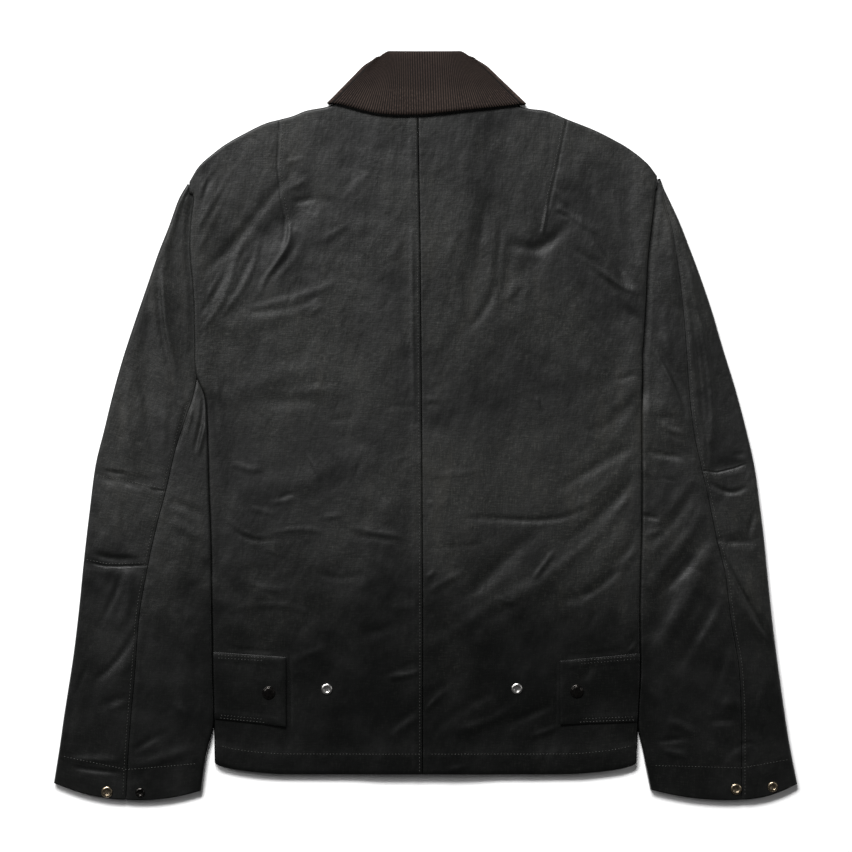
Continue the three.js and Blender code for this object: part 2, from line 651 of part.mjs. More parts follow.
// The stand goes round the neck inside the roll: along the back, over a fold at each side and down the fronts.
function collarStand() {
  const lines = [];
  const shares = [0, 0.5, 1];
  const line = (neck, roll, place) => lines.push(shares.map((share) => place(neck.clone().lerp(roll, share))));
  const sideLines = (sign) => {
    const { roll } = collarLine(sign, COLLAR_FOLD + STAND_INSET);
    const neck = new THREE.Vector2(sign * 74, 346.5);
    const top = roll.clone().add(new THREE.Vector2(sign * -1, -6));
    const normal = slantNormal(sign);
    const list = [];
    for (const angle of [45, 0, -45, -90]) {
      const out = 1.9 * Math.cos(degToRad(angle));
      const place = (at) => {
        const height = backHeight(at.x, at.y) - WING_LIFT;
        const moved = at.clone().addScaledVector(normal, out);
        return new THREE.Vector3(moved.x, moved.y, WING_LIFT + (height / 2) * (1 + Math.sin(degToRad(angle))));
      };
      list.push({ neck, roll: top, place });
    }
    for (const [x, top0] of [[58, 372], [38, 345], [22, 318], [12, 308]]) {
      const neckY = FRONT_NECK + FRONT_NECK_DROP * (x / NECK_POINT) ** 2 + STAND_SEAT;
      list.push({
        neck: new THREE.Vector2(sign * x, neckY),
        roll: new THREE.Vector2(sign * Math.min(x, 40), Math.max(top0 - 4, neckY + 4)),
        place: (at) => new THREE.Vector3(at.x, at.y, WING_LIFT),
      });
    }
    return list;
  };
  sideLines(-1).reverse().forEach(({ neck, roll, place }) => line(neck, roll, place));
  steps(-1, 1, 16).forEach((share) => {
    const { roll } = collarLine(share, COLLAR_FOLD + STAND_INSET);
    const neckX = 74 * share;
    const side = neckX < 0 ? 'left' : 'right';
    const neckY = lookUp(TOP_EDGE[side], 'out', 'y', Math.abs(neckX)) + STAND_SEAT;
    const neck = new THREE.Vector2(neckX, neckY);
    line(neck, roll.add(new THREE.Vector2(0, -6)), (at) => new THREE.Vector3(at.x, at.y, backHeight(at.x, at.y)));
  });
  sideLines(1).forEach(({ neck, roll, place }) => line(neck, roll, place));
  return wall(lines, -1, () => CLOTH);
}

// Side tabs, made from the back's points moved out
function tab(side) {
  const sign = signOf(side);
  const size = TABS[side];
  const across = [...steps(0, 1, 5).map((share) => ({ share, angle: 0 })), { share: 1, angle: 30 }];
  const grid = steps(0, 1, 4).map((v) => across.map(({ share, angle }) => {
    const y = mix(mix(size.bottomIn, size.bottomOut, share), mix(size.topIn, size.topOut, share), v);
    const edge = edgeOut(side, y);
    const out = angle ? edge - foldInset(angle) : mix(size.free, edge - FOLD_RADIUS, share);
    const away = GAP + TAB_CLOTH;
    const lean = Math.sin(degToRad(angle)) * away;
    const fall = foldFall(angle) * FOLD_RADIUS;
    const z = backHeight(sign * out, y) - fall + Math.cos(degToRad(angle)) * away;
    return new THREE.Vector3(sign * (out + lean), y, z);
  }));
  return wall(grid, sign, () => TAB_CLOTH);
}

// Snaps, turned about their own axis

const CAP_PROFILE = [[0, 0], [1, 0], [1, 0.3], [0.93, 0.62], [0.72, 0.86], [0, 1]];
const RING_PROFILE = [[0, 0], [1, 0], [1, 0.45], [0.9, 0.95], [0.74, 1], [0.62, 0.55], [0, 0.5]];

function snap(profile, radius, height) {
  const points = profile.map(([r, z]) => new THREE.Vector2(r * radius, z * height));
  const geometry = new THREE.LatheGeometry(points, 14);
  geometry.rotateX(Math.PI / 2);
  return geometry;
}

// Assembly

const waxed = { color: 0x23261f, roughness: 0.55, metalness: 0 };
const corduroy = { color: 0x3c2d26, roughness: 0.9, metalness: 0 };
const gunmetal = { color: 0x4a4642, roughness: 0.3, metalness: 0.9 };
const brass = { color: 0x8a7a5c, roughness: 0.3, metalness: 0.9 };
const nickel = { color: 0xb8b4ac, roughness: 0.25, metalness: 0.9 };

const jacket = new THREE.Group();

function add(name, geometry, finish, position = [0, 0, 0]) {
  const mesh = new THREE.Mesh(geometry, new THREE.MeshStandardMaterial(finish));
  mesh.name = name;
  mesh.position.set(...position);
  jacket.add(mesh);
}

for (const side of ['left', 'right']) {
  add(`back_${side}`, backPanel(side), waxed);
  add(`front_${side}`, frontPanel(side), waxed);
  add(`sleeve_${side}_top`, sleeveTop(side), waxed);
  add(`sleeve_${side}_under`, sleeveUnder(side), waxed);
  add(`side_tab_${side}`, tab(side), waxed);
  const { cap, stud } = TAB_SNAPS[side];
  const onTab = backHeight(...cap) + GAP + TAB_CLOTH + GAP;
  add(`tab_snap_${side}`, snap(CAP_PROFILE, 7, 2), gunmetal, [...cap, onTab]);
  add(`back_stud_${side}`, snap(RING_PROFILE, 6, 1.4), nickel, [...stud, backHeight(...stud) + GAP]);
}
add('collar_fall', collarFall(), corduroy);
add('undercollar', undercollar(), waxed);
add('collar_stand', collarStand(), waxed);
for (const { name, x, y, radius } of CUFF_SNAPS) {
  const side = x < 0 ? 'left' : 'right';
  const seat = sleeveHeight(side, new THREE.Vector2(x, y)) + GAP;
  add(name, snap(RING_PROFILE, radius, 1.4), radius < 5.2 ? gunmetal : brass, [x, y, seat]);
}
FRONT_SNAP_ROWS.forEach((y, i) => {
  const geometry = snap(CAP_PROFILE, 7, 1.5);
  geometry.rotateX(Math.PI);
  add(`front_snap_${i + 1}`, geometry, gunmetal, [0, y, 1.7]);
});

export default jacket;
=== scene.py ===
import math

import bmesh
import bpy
import numpy as np
from mathutils import Matrix, Vector


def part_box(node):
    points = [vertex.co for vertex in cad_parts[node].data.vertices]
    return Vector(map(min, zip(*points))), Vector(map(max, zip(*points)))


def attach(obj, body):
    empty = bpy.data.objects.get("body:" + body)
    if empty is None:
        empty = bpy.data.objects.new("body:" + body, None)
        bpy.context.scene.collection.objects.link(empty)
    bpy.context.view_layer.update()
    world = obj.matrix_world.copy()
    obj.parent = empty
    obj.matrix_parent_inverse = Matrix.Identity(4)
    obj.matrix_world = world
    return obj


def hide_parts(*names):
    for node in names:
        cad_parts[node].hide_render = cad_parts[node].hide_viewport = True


# A waxed cotton jacket laid out flat on its front. Sizes are millimetres up to the point where a
# vertex is placed. +Z is up, +Y towards the neck and -X the wearer's left.
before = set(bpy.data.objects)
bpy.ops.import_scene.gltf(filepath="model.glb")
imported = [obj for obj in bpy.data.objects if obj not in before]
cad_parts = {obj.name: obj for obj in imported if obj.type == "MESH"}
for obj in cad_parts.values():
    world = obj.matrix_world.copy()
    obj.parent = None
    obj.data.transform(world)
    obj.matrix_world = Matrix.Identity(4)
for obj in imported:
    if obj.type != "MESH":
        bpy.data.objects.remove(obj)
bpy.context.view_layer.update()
MM = 0.001
SIDES = ("left", "right")

# Cloth
CLOTH = 1.8
HEM_CLOTH = 2.8
CORDUROY = 2
UNDERCOLLAR_CLOTH = 1.2
TAB_CLOTH = 1.6
GAP = 0.3

# Heights of the laid layers over the surface
BACK_TOP = 6.4
CENTRE_CROWN = 1.9
CENTRE_SAG = 1.1
ARMHOLE_RISE = 2
SLEEVE_TOP = 7.4
SLEEVE_AT_ARMHOLE = 5
SLEEVE_LIP = 1.2
SLEEVE_CRUMPLE = 1.15
PLACKET_LIFT = 2
WING_LIFT = CORDUROY + GAP
WING_RAMP = (26, 52)

# Folds where a layer turns over
FOLD_RADIUS = 3
EDGE_SWELL = 0.25
LIP_GAP = 0.5
UNDERARM = 30
LIP_RUN = 14
TUCK = 7
SLEEVE_CLEARANCE = 0.8
SLEEVE_TIP_REACH = 2
UNDERARM_SHORT = 7
# The sleeve's inner fold presses a little into the body's edge, so no floor shows between
SLEEVE_TOUCH = -0.4
FRONT_INSET = 2.4
HEM_INSET = 3.4
SHOULDER_INSET = 4
EDGE_RUN = 14
FOLD_DEPTH_SHARE = 0.72
MOST_PAST_FOLD = 0.3
NECK_ROUNDING = 0.5
HEM_ROUNDING = 0.8

# Hems and closing edge
SIDE_FOOT = -350
CENTRE_FOOT = -362
HEM_DEPTH = 23
HEM_RISE = 0.9
HEM_STEP = 0.35
HEM_PUCKER = 0.12
CUFF_BOW = 3.6
PLACKET_HALF = 20
PLACKET_LEVEL = 22
PLACKET_RAMP = 12
FRONT_NECK = 300
NECK_POINT = 76
FRONT_NECK_DROP = 42

# Collar
WALE_PITCH = 2.8
WALE_RISE = 0.55
LINES_A_WALE = 6
COLLAR_HALF = 104
COLLAR_MIDDLE = 1
COLLAR_TOP = 388.4
COLLAR_BAND = 0.45
COLLAR_WAVE = 0.25
ROLL_HALF = 44
CORNER_RUN = 10
ROLL_DROP = 2.6
ROLL_END_DROP = 4.4
SIDE_CURL = 0.3
SIDE_DRAW = 0.8
MIDDLE_DRAW = 0.9
ROLL_TAPER = 0.72
CURL_TAPER = 0.22
COLLAR_FOLD = 5
UNDERCOLLAR_INSET = 2.2
STAND_INSET = 6.5
STAND_DROP = 6
STAND_HALF = 74
STAND_SEAT = 2.4
STAND_SWELL = 1.9
NECKLINE = 336
COLLAR_REST = 0.5

# Sewing
STITCH_PITCH = 3.4
STITCH_SIZE = (2.5, 0.5, 0.42)
STITCH_LIFT = 0.1
WELT_HALF = 1.4
DART_WELT = 0.1
DART_GROOVE = 0.7
CENTRE_WELT = 0.3
CENTRE_GROOVE = 0.35
SEAM_DIP = 0.5
HEM_STITCHES = HEM_DEPTH - 1.5
CUFF_STITCHES = 32
CENTRE_STITCHES = -3
TAB_STITCHES = (2, 5.2)
DART_STITCHES = 3.4
ELBOW_STITCHES = 2.8
HIND_SEAM_STITCHES = 3.2

# The large folds run on into the smaller creases, which take up part of their rise
FOLD_SHARE = 0.7
CREASE_SHARE = 0.85
DEEPEST_SLEEVE_FOLD = -2.6


def mix(a, b, share):
    return a + (b - a) * share


def smoothstep(value, low, high):
    share = np.clip((value - low) / (high - low), 0, 1)
    return share * share * (3 - 2 * share)


def fading(value, low, high):
    """1 below the range and 0 above it."""
    return 1 - smoothstep(value, low, high)


def table(names, rows):
    """Columns of a table by name."""
    values = np.array(rows, float)
    return {name: values[:, i] for i, name in enumerate(names.split())}


def look_up(columns, key, value, at):
    """Smooth value of one column where the key column has the given value."""
    keys, values = columns[key], columns[value]
    last = len(keys) - 1
    order = np.arange(last + 1)
    before, after = np.maximum(order - 1, 0), np.minimum(order + 1, last)
    slope = (values[after] - values[before]) / (keys[after] - keys[before])
    at = np.clip(at, keys[0], keys[-1])
    i = np.clip(np.searchsorted(keys, at, side="right") - 1, 0, last - 1)
    span = keys[i + 1] - keys[i]
    t = (at - keys[i]) / span
    a = 2 * t**3 - 3 * t**2 + 1
    b = t**3 - 2 * t**2 + t
    c = t**3 - t**2
    return a * values[i] + b * span * slope[i] + (1 - a) * values[i + 1] + c * span * slope[i + 1]


# Outline of the body, as distances out from the middle line
SIDE_EDGE = {
    "left": table("y out", [
        (-350, 219), (-300, 220), (-200, 222), (-118, 223), (-66, 225), (6, 227), (30, 229),
        (54, 238.5), (94, 240), (134, 241), (184, 245), (219, 243), (236, 241), (253, 245),
    ]),
    "right": table("y out", [
        (-350, 219), (-300, 221), (-260, 223), (-181, 223), (-100, 225), (68, 225), (97, 227),
        (132, 229), (175, 231), (218, 236), (240, 238), (259, 240),
    ]),
}
TOP_EDGE = {
    "left": table("out y", [
        (0, 336), (40, 338), (65, 342), (78, 346), (90, 337), (101, 331.5), (124, 327),
        (138, 321.5), (151, 318), (166, 314), (183, 306), (208, 292), (226, 278), (236, 268),
        (245, 253),
    ]),
    "right": table("out y", [
        (0, 336), (40, 338), (65, 342), (78, 346), (90, 336), (103, 330), (126, 326.5),
        (146, 318.5), (175, 307), (195, 297), (212, 287), (230, 272), (240, 259),
    ]),
}
HEM_EDGE = table("out y", [
    (0, -362), (147, -362), (171, -360.5), (199, -357), (214, -353), (219, -350),
])
CENTRE_BACK = table("y x", [(-362, -3.2), (-181, -3), (172, -5.5), (321, -7.9), (340, -8)])

# Sections across the sleeves, from cuff to shoulder: the outer fold, the hind seam and the inner
# side
SLEEVE_SECTIONS = {
    "left": table("row outX outY seamX seamY inY gap", [
        (0, 386, -371, 311, -388, -379, 14), (1, 380, -333, 309, -347, -341, 8.5),
        (2, 375, -298, 306, -305, -306, 0), (3, 366, -240, 301, -249, -252, 0),
        (4, 360, -190, 297, -196, -200, 0), (5, 355, -140, 288, -145, -150, 0),
        (6, 349, -88, 279, -104, -112, 0), (7, 343, -42, 269, -66, -76, 0),
        (8, 334, -5, 260, -27, -40, 0), (9, 325, 32, 249, 8, -2, 0),
        (10, 315, 68, 241, 32, 20, 0), (11, 303, 105, 234, 75, 75, 0),
        (12, 290, 143, 234, 115, 115, 0), (13, 278, 178, 236, 155, 155, 0),
        (14, 267, 206, 238, 190, 190, 0), (15, 257, 234, 236, 222, 222, 0),
        (16, 247.5, 251, 235, 246, 246, 0),
    ]),
    "right": table("row outX outY seamX seamY inY gap", [
        (0, 386, -372, 328, -388, -378, 15), (1, 379, -337, 328, -345, -344, 8),
        (2, 373, -300, 328, -304, -308, 0), (3, 366, -250, 325, -250, -250, 0),
        (4, 360, -203, 317, -203, -203, 0), (5, 355, -155, 311, -155, -155, 0),
        (6, 351, -115, 302, -117, -118, 0), (7, 346, -75, 294, -78, -82, 0),
        (8, 341, -40, 287, -48, -52, 0), (9, 333, -5, 279, -10, -12, 0),
        (10, 322, 37, 274, 30, 26, 0), (11, 309, 79, 271, 72, 66, 0),
        (12, 297, 120, 268, 112, 105, 0), (13, 284, 158, 264, 151, 145, 0),
        (14, 272, 190, 259, 184, 178, 0), (15, 262, 215, 254, 211, 206, 0),
        (16, 242.5, 256.5, 241.8, 255.5, 252, 0),
    ]),
}
SEAM_END = {"left": 10.42, "right": 16}

# Largest folds: a line from (x1, y1) to (x2, y2) bowed sideways, its width and its rise
FOLDS = [
    (-70, 300, -240, 152, 16, 54, -2.2), (-214, 276, -236, 200, 4, 30, 1),
    (-190, 270, -236, 180, 6, 30, 0.8), (-178, 200, -236, 88, 6, 34, 0.9),
    (-138, 205, -172, 128, 4, 34, 0.8), (-95, 145, -214, 102, 8, 34, 1.2),
    (-90, 60, -214, 22, -10, 36, 1.1), (-198, 20, -212, -112, 4, 30, -1.4),
    (-60, -20, -190, -64, 14, 38, 1), (70, 245, 44, 84, -6, 38, -1.6),
    (100, 240, 92, 100, 8, 34, 1.1), (126, 196, 84, 110, -4, 38, -1.8),
    (138, 252, 228, 118, 8, 36, -1.6), (152, 212, 228, 90, 6, 34, 1.8),
    (228, 60, 150, -12, -4, 32, 0.4), (228, -8, 156, -84, -4, 32, 0.4),
    (228, -48, 168, -124, -4, 30, -1.4), (228, -82, 164, -184, -4, 34, 1),
    (150, -130, 40, -240, 6, 40, 1.2), (102, -180, 12, -300, 8, 40, 1),
    (-12, 196, -10, 60, 0, 26, 1.1), (-272, 210, -252, 26, -10, 26, 2),
    (-290, 120, -276, 10, -6, 28, -1.6), (-300, 70, -312, -50, 4, 30, 1.4),
    (-350, -50, -276, -62, 0, 20, -1.5), (-358, -142, -292, -145, 0, 20, -1.4),
    (-324, -62, -328, -136, 0, 36, 1.2), (-300, -200, -336, -290, 6, 36, 1.4),
    (-356, -266, -372, -340, 0, 28, 1.2), (-252, -60, -262, -190, 4, 34, 1.2),
    (-250, -210, -262, -330, 4, 32, 1.1), (258, 208, 282, -38, -8, 28, -2),
    (276, 170, 296, -20, -8, 26, 1.9), (244, 60, 276, -14, 4, 30, 1.6),
    (232, -20, 278, -34, 0, 26, -1.6), (290, -45, 342, -38, 0, 20, -1.5),
    (302, -120, 352, -120, 0, 20, -1.4), (276, -60, 228, -160, -6, 40, 2),
    (296, -96, 236, -220, -6, 34, -1.7), (306, -128, 366, -236, 6, 32, 2),
    (282, -150, 240, -260, -6, 36, 1.5), (346, -240, 350, -340, 0, 32, 1.2),
]

# Smaller creases, as they run on the cloth: width, rise, and x and y of each point that they pass
BACK_CREASES = [
    (22, -1.3, -133, 266, -154, 246, -182, 211, -206, 180, -230, 158),
    (9, 0.8, -197, 271, -215, 240, -239, 200), (10, 0.8, -201, 256, -220, 210, -240, 173),
    (8, 0.8, -215, 272, -234, 246, -239, 203), (10, -0.8, -222, 263, -237, 216),
    (9, 1.1, -172, 191, -182, 158, -194, 135, -212, 112),
    (10, 1.1, -182, 201, -197, 175, -206, 140, -217, 117, -234, 97),
    (12, -1, -177, 183, -190, 156, -201, 133), (12, -1, -206, 161, -224, 128, -234, 113),
    (9, 0.8, -207, 163, -224, 138, -229, 110),
    (10, 1.4, -141, 211, -141, 190, -153, 170, -169, 150, -171, 135),
    (18, -1.1, -133, 200, -136, 183, -163, 150), (10, -0.9, -147, 218, -145, 198, -150, 186),
    (12, -1, -139, 231, -114, 236), (10, 0.6, -143, 243, -122, 257), (9, 0.6, -148, 271, -126, 278),
    (12, 0.6, -83, 236, -72, 252, -56, 263), (14, 0.7, -110, 190, -81, 208),
    (14, 0.6, -139, 132, -112, 140, -90, 150), (12, 0.7, -184, 120, -139, 132),
    (16, -0.8, -184, 117, -139, 120, -98, 140), (8, 0.8, -123, 113, -106, 125),
    (20, 0.6, -139, 35, -90, 38), (26, -0.8, -176, 25, -106, 25),
    (9, 0.8, -14, 204, -14, 110, -12, 22),
    (22, -1.3, -222, 33, -216, 0, -206, -50, -192, -86, -184, -95),
    (12, 0.9, -217, 58, -214, 0, -206, -35), (12, -0.8, -189, 6, -184, -20, -177, -38),
    (12, 0.8, -201, -38, -185, -46, -169, -45), (7, 0.9, -123, -30, -115, -44, -109, -57),
    (8, -0.7, -98, -28, -85, -50, -76, -75, -70, -81), (8, -0.7, -63, -27, -75, -57),
    (8, -0.6, -56, -58, -38, -81), (8, 0.7, -35, -38, -17, -30), (9, -0.9, -42, 18, -10, 21),
    (12, -0.6, -101, 5, -78, 6), (7, -0.9, -153, -75, -136, -70), (8, 0.8, -163, -81, -133, -76),
    (10, 0.7, -182, -85, -156, -93), (8, 0.8, -159, -111, -131, -107, -106, -110),
    (9, 0.9, -109, -96, -86, -93), (9, 0.8, -76, -106, -50, -112, -23, -115),
    (12, -0.6, -76, -113, -23, -121), (10, -0.7, -206, -100, -184, -120, -149, -118),
    (8, 0.7, -207, -97, -186, -114, -163, -116), (6, 0.7, -166, -127, -156, -133),
    (8, -1, -44, -260, -26, -251, -11, -245), (10, 1.3, -37, -262, -20, -259, -6, -255),
    (26, -1.1, -69, -219, -45, -212, -19, -206), (26, 0.8, -36, -191, -9, -187),
    (12, -1, -39, -317, -24, -303, -6, -292), (16, 1, -36, -325, -22, -312, -7, -302),
    (14, 0.6, -137, -245, -102, -229), (12, 0.5, -196, -190, -150, -184, -118, -196),
    (10, 0.5, -190, -160, -160, -172, -140, -168), (14, -0.5, -120, -150, -90, -160, -62, -154),
    (5, -1.3, -141.5, -238, -140, -275, -139.5, -313), (5, -0.7, 136, -242, 135.5, -312),
    (5, -0.7, -146, -236, -205, -231), (5, -0.6, 142, -240, 210, -233),
    (7, 1.5, 127, 228, 124, 212, 121, 197),
    (24, -1.8, 84, 190, 104, 184, 120, 184, 135, 196, 149, 209), (14, -0.9, 60, 229, 57, 190),
    (12, -1.4, 79, 218, 76, 183, 72, 142), (16, -1.4, 74, 150, 61, 117, 44, 100),
    (14, 0.9, 97, 150, 84, 128), (26, -1.1, 88, 190, 86, 160, 73, 124),
    (10, -1, 22, 200, 9, 170, 4, 143), (12, 0.7, 35, 206, 20, 165), (12, 0.8, 133, 246, 148, 229),
    (12, 0.8, 135, 226, 156, 214, 177, 200), (9, -0.8, 135, 221, 153, 216),
    (12, 1.1, 158, 176, 185, 157, 205, 143, 224, 136), (16, -1, 173, 200, 192, 176, 210, 150),
    (12, 0.6, 175, 246, 190, 208), (14, 0.9, 198, 233, 203, 190, 215, 163),
    (14, -1, 211, 219, 221, 166), (18, -1, 148, 190, 177, 161, 201, 135),
    (18, -1.1, 205, 124, 226, 103), (8, -0.6, 153, 143, 160, 128), (12, -0.7, 170, 113, 190, 89),
    (7, -1, -1, 21, 16, 21), (7, 0.9, -2, 27, 15, 27), (9, 0.7, 1, -53, 30, -50, 60, -46),
    (7, 1, 0, -82, 8, -80), (8, -0.6, 0, 37, 16, 42),
    (22, -1.2, 224, -17, 193, -33, 160, -53, 135, -68),
    (18, 0.7, 222, -24, 206, -38, 193, -58, 168, -80, 143, -88),
    (10, -1.5, 168, -86, 143, -96, 114, -99, 64, -96, 36, -96),
    (18, -1.1, 225, -43, 206, -68, 173, -100, 143, -124),
    (20, 0.9, 213, -75, 191, -98, 175, -118, 152, -136, 127, -154), (7, 1.1, 211, -72, 197, -92),
    (9, -0.9, 198, -100, 190, -121), (16, -1, 223, -93, 215, -124, 193, -146),
    (14, 1, 225, -121, 201, -150), (12, -1, 226, 58, 210, 50, 193, 46),
    (20, -0.9, 225, 35, 210, 20, 190, 0, 168, -7), (16, 0.4, 224, 45, 201, 25, 177, 6),
    (18, 0.5, 212, 2, 193, -15, 185, -28), (7, -1.1, 225, 5, 216, -15), (7, -1, 225, 37, 215, 26),
    (8, -0.7, 117, 26, 125, 6), (6, 0.8, 115, 30, 120, 17),
    (34, -1.4, 120, -106, 90, -132, 52, -161), (10, 1, 135, -128, 122, -146, 110, -161),
    (8, -0.8, 0, -128, 30, -126, 60, -123), (8, 1, 0, -158, 10, -151),
    (30, 1, 156, -134, 123, -163, 73, -184, 40, -208, 2, -234),
    (30, -1.5, 89, -133, 66, -159, 23, -189), (6, 0.9, 73, -177, 88, -186, 96, -177),
    (14, 1, 40, -151, 3, -172), (24, -1.4, 206, -146, 172, -176, 139, -182),
    (14, 0.8, 211, -143, 189, -168, 161, -184), (8, -0.7, 176, -191, 169, -212),
    (20, -1.1, 176, -242, 168, -256, 161, -267), (8, -1.3, 221, -212, 211, -231),
    (7, 1.1, 219, -226, 210, -236), (12, 1, 139, -312, 122, -319, 106, -323),
    (18, -1.1, 136, -287, 108, -300, 81, -312), (20, 1.1, 94, -288, 76, -304, 30, -318),
    (20, -0.9, 73, -275, 31, -297, 1, -325), (10, 0.7, 23, -357, 45, -353),
    (14, -1, -3, -282, 25, -265), (9, 1, 0, -295, 21, -274),
]
SLEEVE_CREASES = [
    (12, -1.8, -278, 164, -277, 128, -270, 75, -255, 24),
    (9, 1.2, -274, 170, -270, 107, -263, 75, -255, 43), (16, 0.9, -282, 164, -284, 107, -272, 64),
    (18, -1.6, -304, 79, -291, 32, -284, -21, -278, -48),
    (18, 1.3, -306, 75, -312, 1, -306, -27, -295, -52), (14, 0.9, -270, 32, -272, -42),
    (9, -1.7, -246, 26, -253, 1, -259, -25), (10, -1.8, -230, 32, -232, 5, -240, -27),
    (9, 0.9, -242, 18, -248, -11), (9, 1.3, -228, 3, -236, -31),
    (10, -1, -338, -46, -324, -49, -310, -50), (6, -0.6, -312, -69, -313, -105),
    (8, 1.1, -342, -55, -344, -78, -343, -100), (14, -1.2, -348, -132, -326, -138, -296, -138),
    (12, -0.9, -314, -150, -323, -178, -338, -205), (24, 1.2, -310, -150, -306, -184, -321, -212),
    (12, -1.5, -299, -210, -310, -231, -327, -252, -344, -265), (12, 0.7, -302, -240, -318, -258),
    (12, -1, -309, -281, -337, -290), (10, 0.8, -308, -287, -326, -293),
    (7, 1.2, -359, -254, -367, -277, -374, -307, -378, -324), (8, -0.8, -350, -246, -362, -276),
    (14, -1.4, -244, -239, -234, -280, -224, -301), (10, -0.9, -367, -354, -342, -358, -316, -360),
    (14, 0.9, -367, -346, -318, -347), (22, 1, -308, -354, -270, -346, -238, -333),
    (14, -0.8, -305, -338, -272, -318), (18, -1.1, -265, -78, -248, -84, -232, -95),
    (20, 0.9, -263, -99, -234, -116), (8, 0.6, -262, -186, -252, -192),
    (16, 0.7, -262, -288, -244, -302), (9, 0.9, -250, 246, -256, 230),
    (8, -1, -246, 240, -254, 236), (22, 1.1, 253, 213, 257, 160, 262, 86, 268, 32),
    (16, -1.7, 230, 107, 245, 75, 260, 47, 272, 7), (10, 0.8, 247, 94, 264, 54),
    (8, 1.1, 234, 83, 257, 43, 268, 11),
    (12, 1.5, 268, 181, 276, 149, 287, 100, 296, 43, 298, 1, 294, -46),
    (10, -1.2, 274, 128, 283, 64, 287, 11, 292, -42), (7, 0.9, 287, 8, 290, -44),
    (12, 1.3, 245, 1, 256, -6, 268, -8), (9, -1.9, 230, -27, 248, -31, 266, -33),
    (12, -0.7, 237, 8, 258, 8), (12, 0.8, 230, 75, 232, 11),
    (8, 1.2, 328, -34, 337, -40, 337, -50, 333, -58), (9, -1, 317, -31, 334, -29),
    (12, -1.4, 293, -59, 308, -68, 321, -70, 334, -63), (7, 0.8, 289, -51, 293, -75),
    (30, 1.4, 252, -57, 246, -76, 238, -90), (8, -1.4, 225, -93, 243, -97),
    (12, 1.1, 230, -114, 247, -108), (26, -2, 283, -61, 260, -95, 230, -127),
    (26, 1.9, 291, -82, 276, -112, 249, -142, 230, -171),
    (20, -1.5, 296, -110, 272, -146, 251, -167, 233, -184),
    (32, 1.5, 293, -131, 281, -167, 257, -210, 230, -237),
    (22, -1.4, 306, -159, 291, -201, 272, -233, 255, -258),
    (11, 1.1, 308, -182, 300, -201, 283, -229), (16, -1.1, 312, -222, 308, -248, 298, -282),
    (24, 1.2, 304, -292, 325, -286), (14, -1.1, 293, -307, 321, -305),
    (9, -2.2, 304, -127, 334, -184, 360, -229), (16, 1.1, 306, -142, 330, -190, 352, -226),
    (7, 1.2, 348, -212, 361, -232), (12, -1.6, 342, -86, 338, -102, 334, -116),
    (12, 1.1, 234, -273, 240, -291), (16, 1.2, 251, -307, 266, -311, 279, -322),
    (9, -1.1, 240, -328, 272, -324), (14, 1.1, 245, -337, 272, -343), (20, 1, 317, -339, 334, -343),
    (6, -0.8, 306, -352, 322, -332, 340, -328, 350, -340), (14, 0.6, 352, -262, 344, -300),
]


def fold_rise(x, y):
    """Rise of the largest folds."""
    total = np.zeros_like(x)
    for x1, y1, x2, y2, bow, width, rise in FOLDS:
        run_x, run_y = x2 - x1, y2 - y1
        length = math.hypot(run_x, run_y)
        along = ((x - x1) * run_x + (y - y1) * run_y) / length**2
        bowed = bow * 4 * along * (1 - along)
        across = ((y - y1) * run_x - (x - x1) * run_y) / length - bowed
        ends = np.sin(np.pi * np.clip(along, 0, 1)) ** 0.7
        total += rise * smoothstep(1 - np.abs(across) / (width / 2), 0, 1) * ends
    return total


def rounded(points):
    """The same run of points with its corners cut off twice."""
    for _ in range(2):
        near, far = points[:-1] * 0.75 + points[1:] * 0.25, points[:-1] * 0.25 + points[1:] * 0.75
        inner = np.stack([near, far], 1).reshape(-1, 2)
        points = np.concatenate([points[:1], inner, points[-1:]])
    return points


def crease_rise(creases, x, y):
    total = np.zeros(x.shape)
    for width, rise, *numbers in creases:
        half = width / 2
        path = np.array(numbers, float).reshape(-1, 2)
        low, high = path.min(axis=0) - half, path.max(axis=0) + half
        near = (x > low[0]) & (x < high[0]) & (y > low[1]) & (y < high[1])
        if near.any():
            away, run, length = beside(rounded(path), x[near], y[near])
            ends = np.sin(np.pi * np.clip(run / length, 0, 1)) ** 0.6
            crest = smoothstep(1 - np.abs(away) / half, 0, 1) ** 1.6
            total[near] += CREASE_SHARE * rise * crest * ends
    return total


# Side tabs and snaps, as distances out from the middle line
TABS = {
    "left": {"free": 145, "topIn": -240, "topOut": -235, "bottomIn": -312, "bottomOut": -304},
    "right": {"free": 139.5, "topIn": -244, "topOut": -236.5, "bottomIn": -310, "bottomOut": -307},
}
TAB_STANDING = {"left": 1.9, "right": 0.8}
SNAP_PLACES = [
    (-162.5, -277), (-102.5, -273.4), (156.8, -275.4), (94.7, -273),
    (-330.5, -380), (-296, -380.5), (322, -377), (360, -374.5),
]


def fold_freedom(x, y):
    """How freely the cloth may fold: it lies smooth round the tabs and their snaps."""
    across = np.maximum(np.maximum(82 - np.abs(x), np.abs(x) - 226), 0)
    along = np.maximum(np.maximum(-325 - y, y + 222), 0)
    return smoothstep(np.hypot(across, along), 4, 30)


def clear_of_snaps(x, y):
    """Creases fade out where a snap is set."""
    share = np.ones(x.shape)
    for snap_x, snap_y in SNAP_PLACES:
        share = np.minimum(share, smoothstep(np.hypot(x - snap_x, y - snap_y), 7, 16))
    return share


def sign_of(side):
    return -1 if side == "left" else 1


def edge_out(side, y):
    return look_up(SIDE_EDGE[side], "y", "out", y)


def tip_of(side):
    return SIDE_EDGE[side]["out"][-1], SIDE_EDGE[side]["y"][-1]


def top_edge(side, out):
    return look_up(TOP_EDGE[side], "out", "y", out)


def hem_edge(out):
    return look_up(HEM_EDGE, "out", "y", out)


def centre_back(y):
    return look_up(CENTRE_BACK, "y", "x", y)


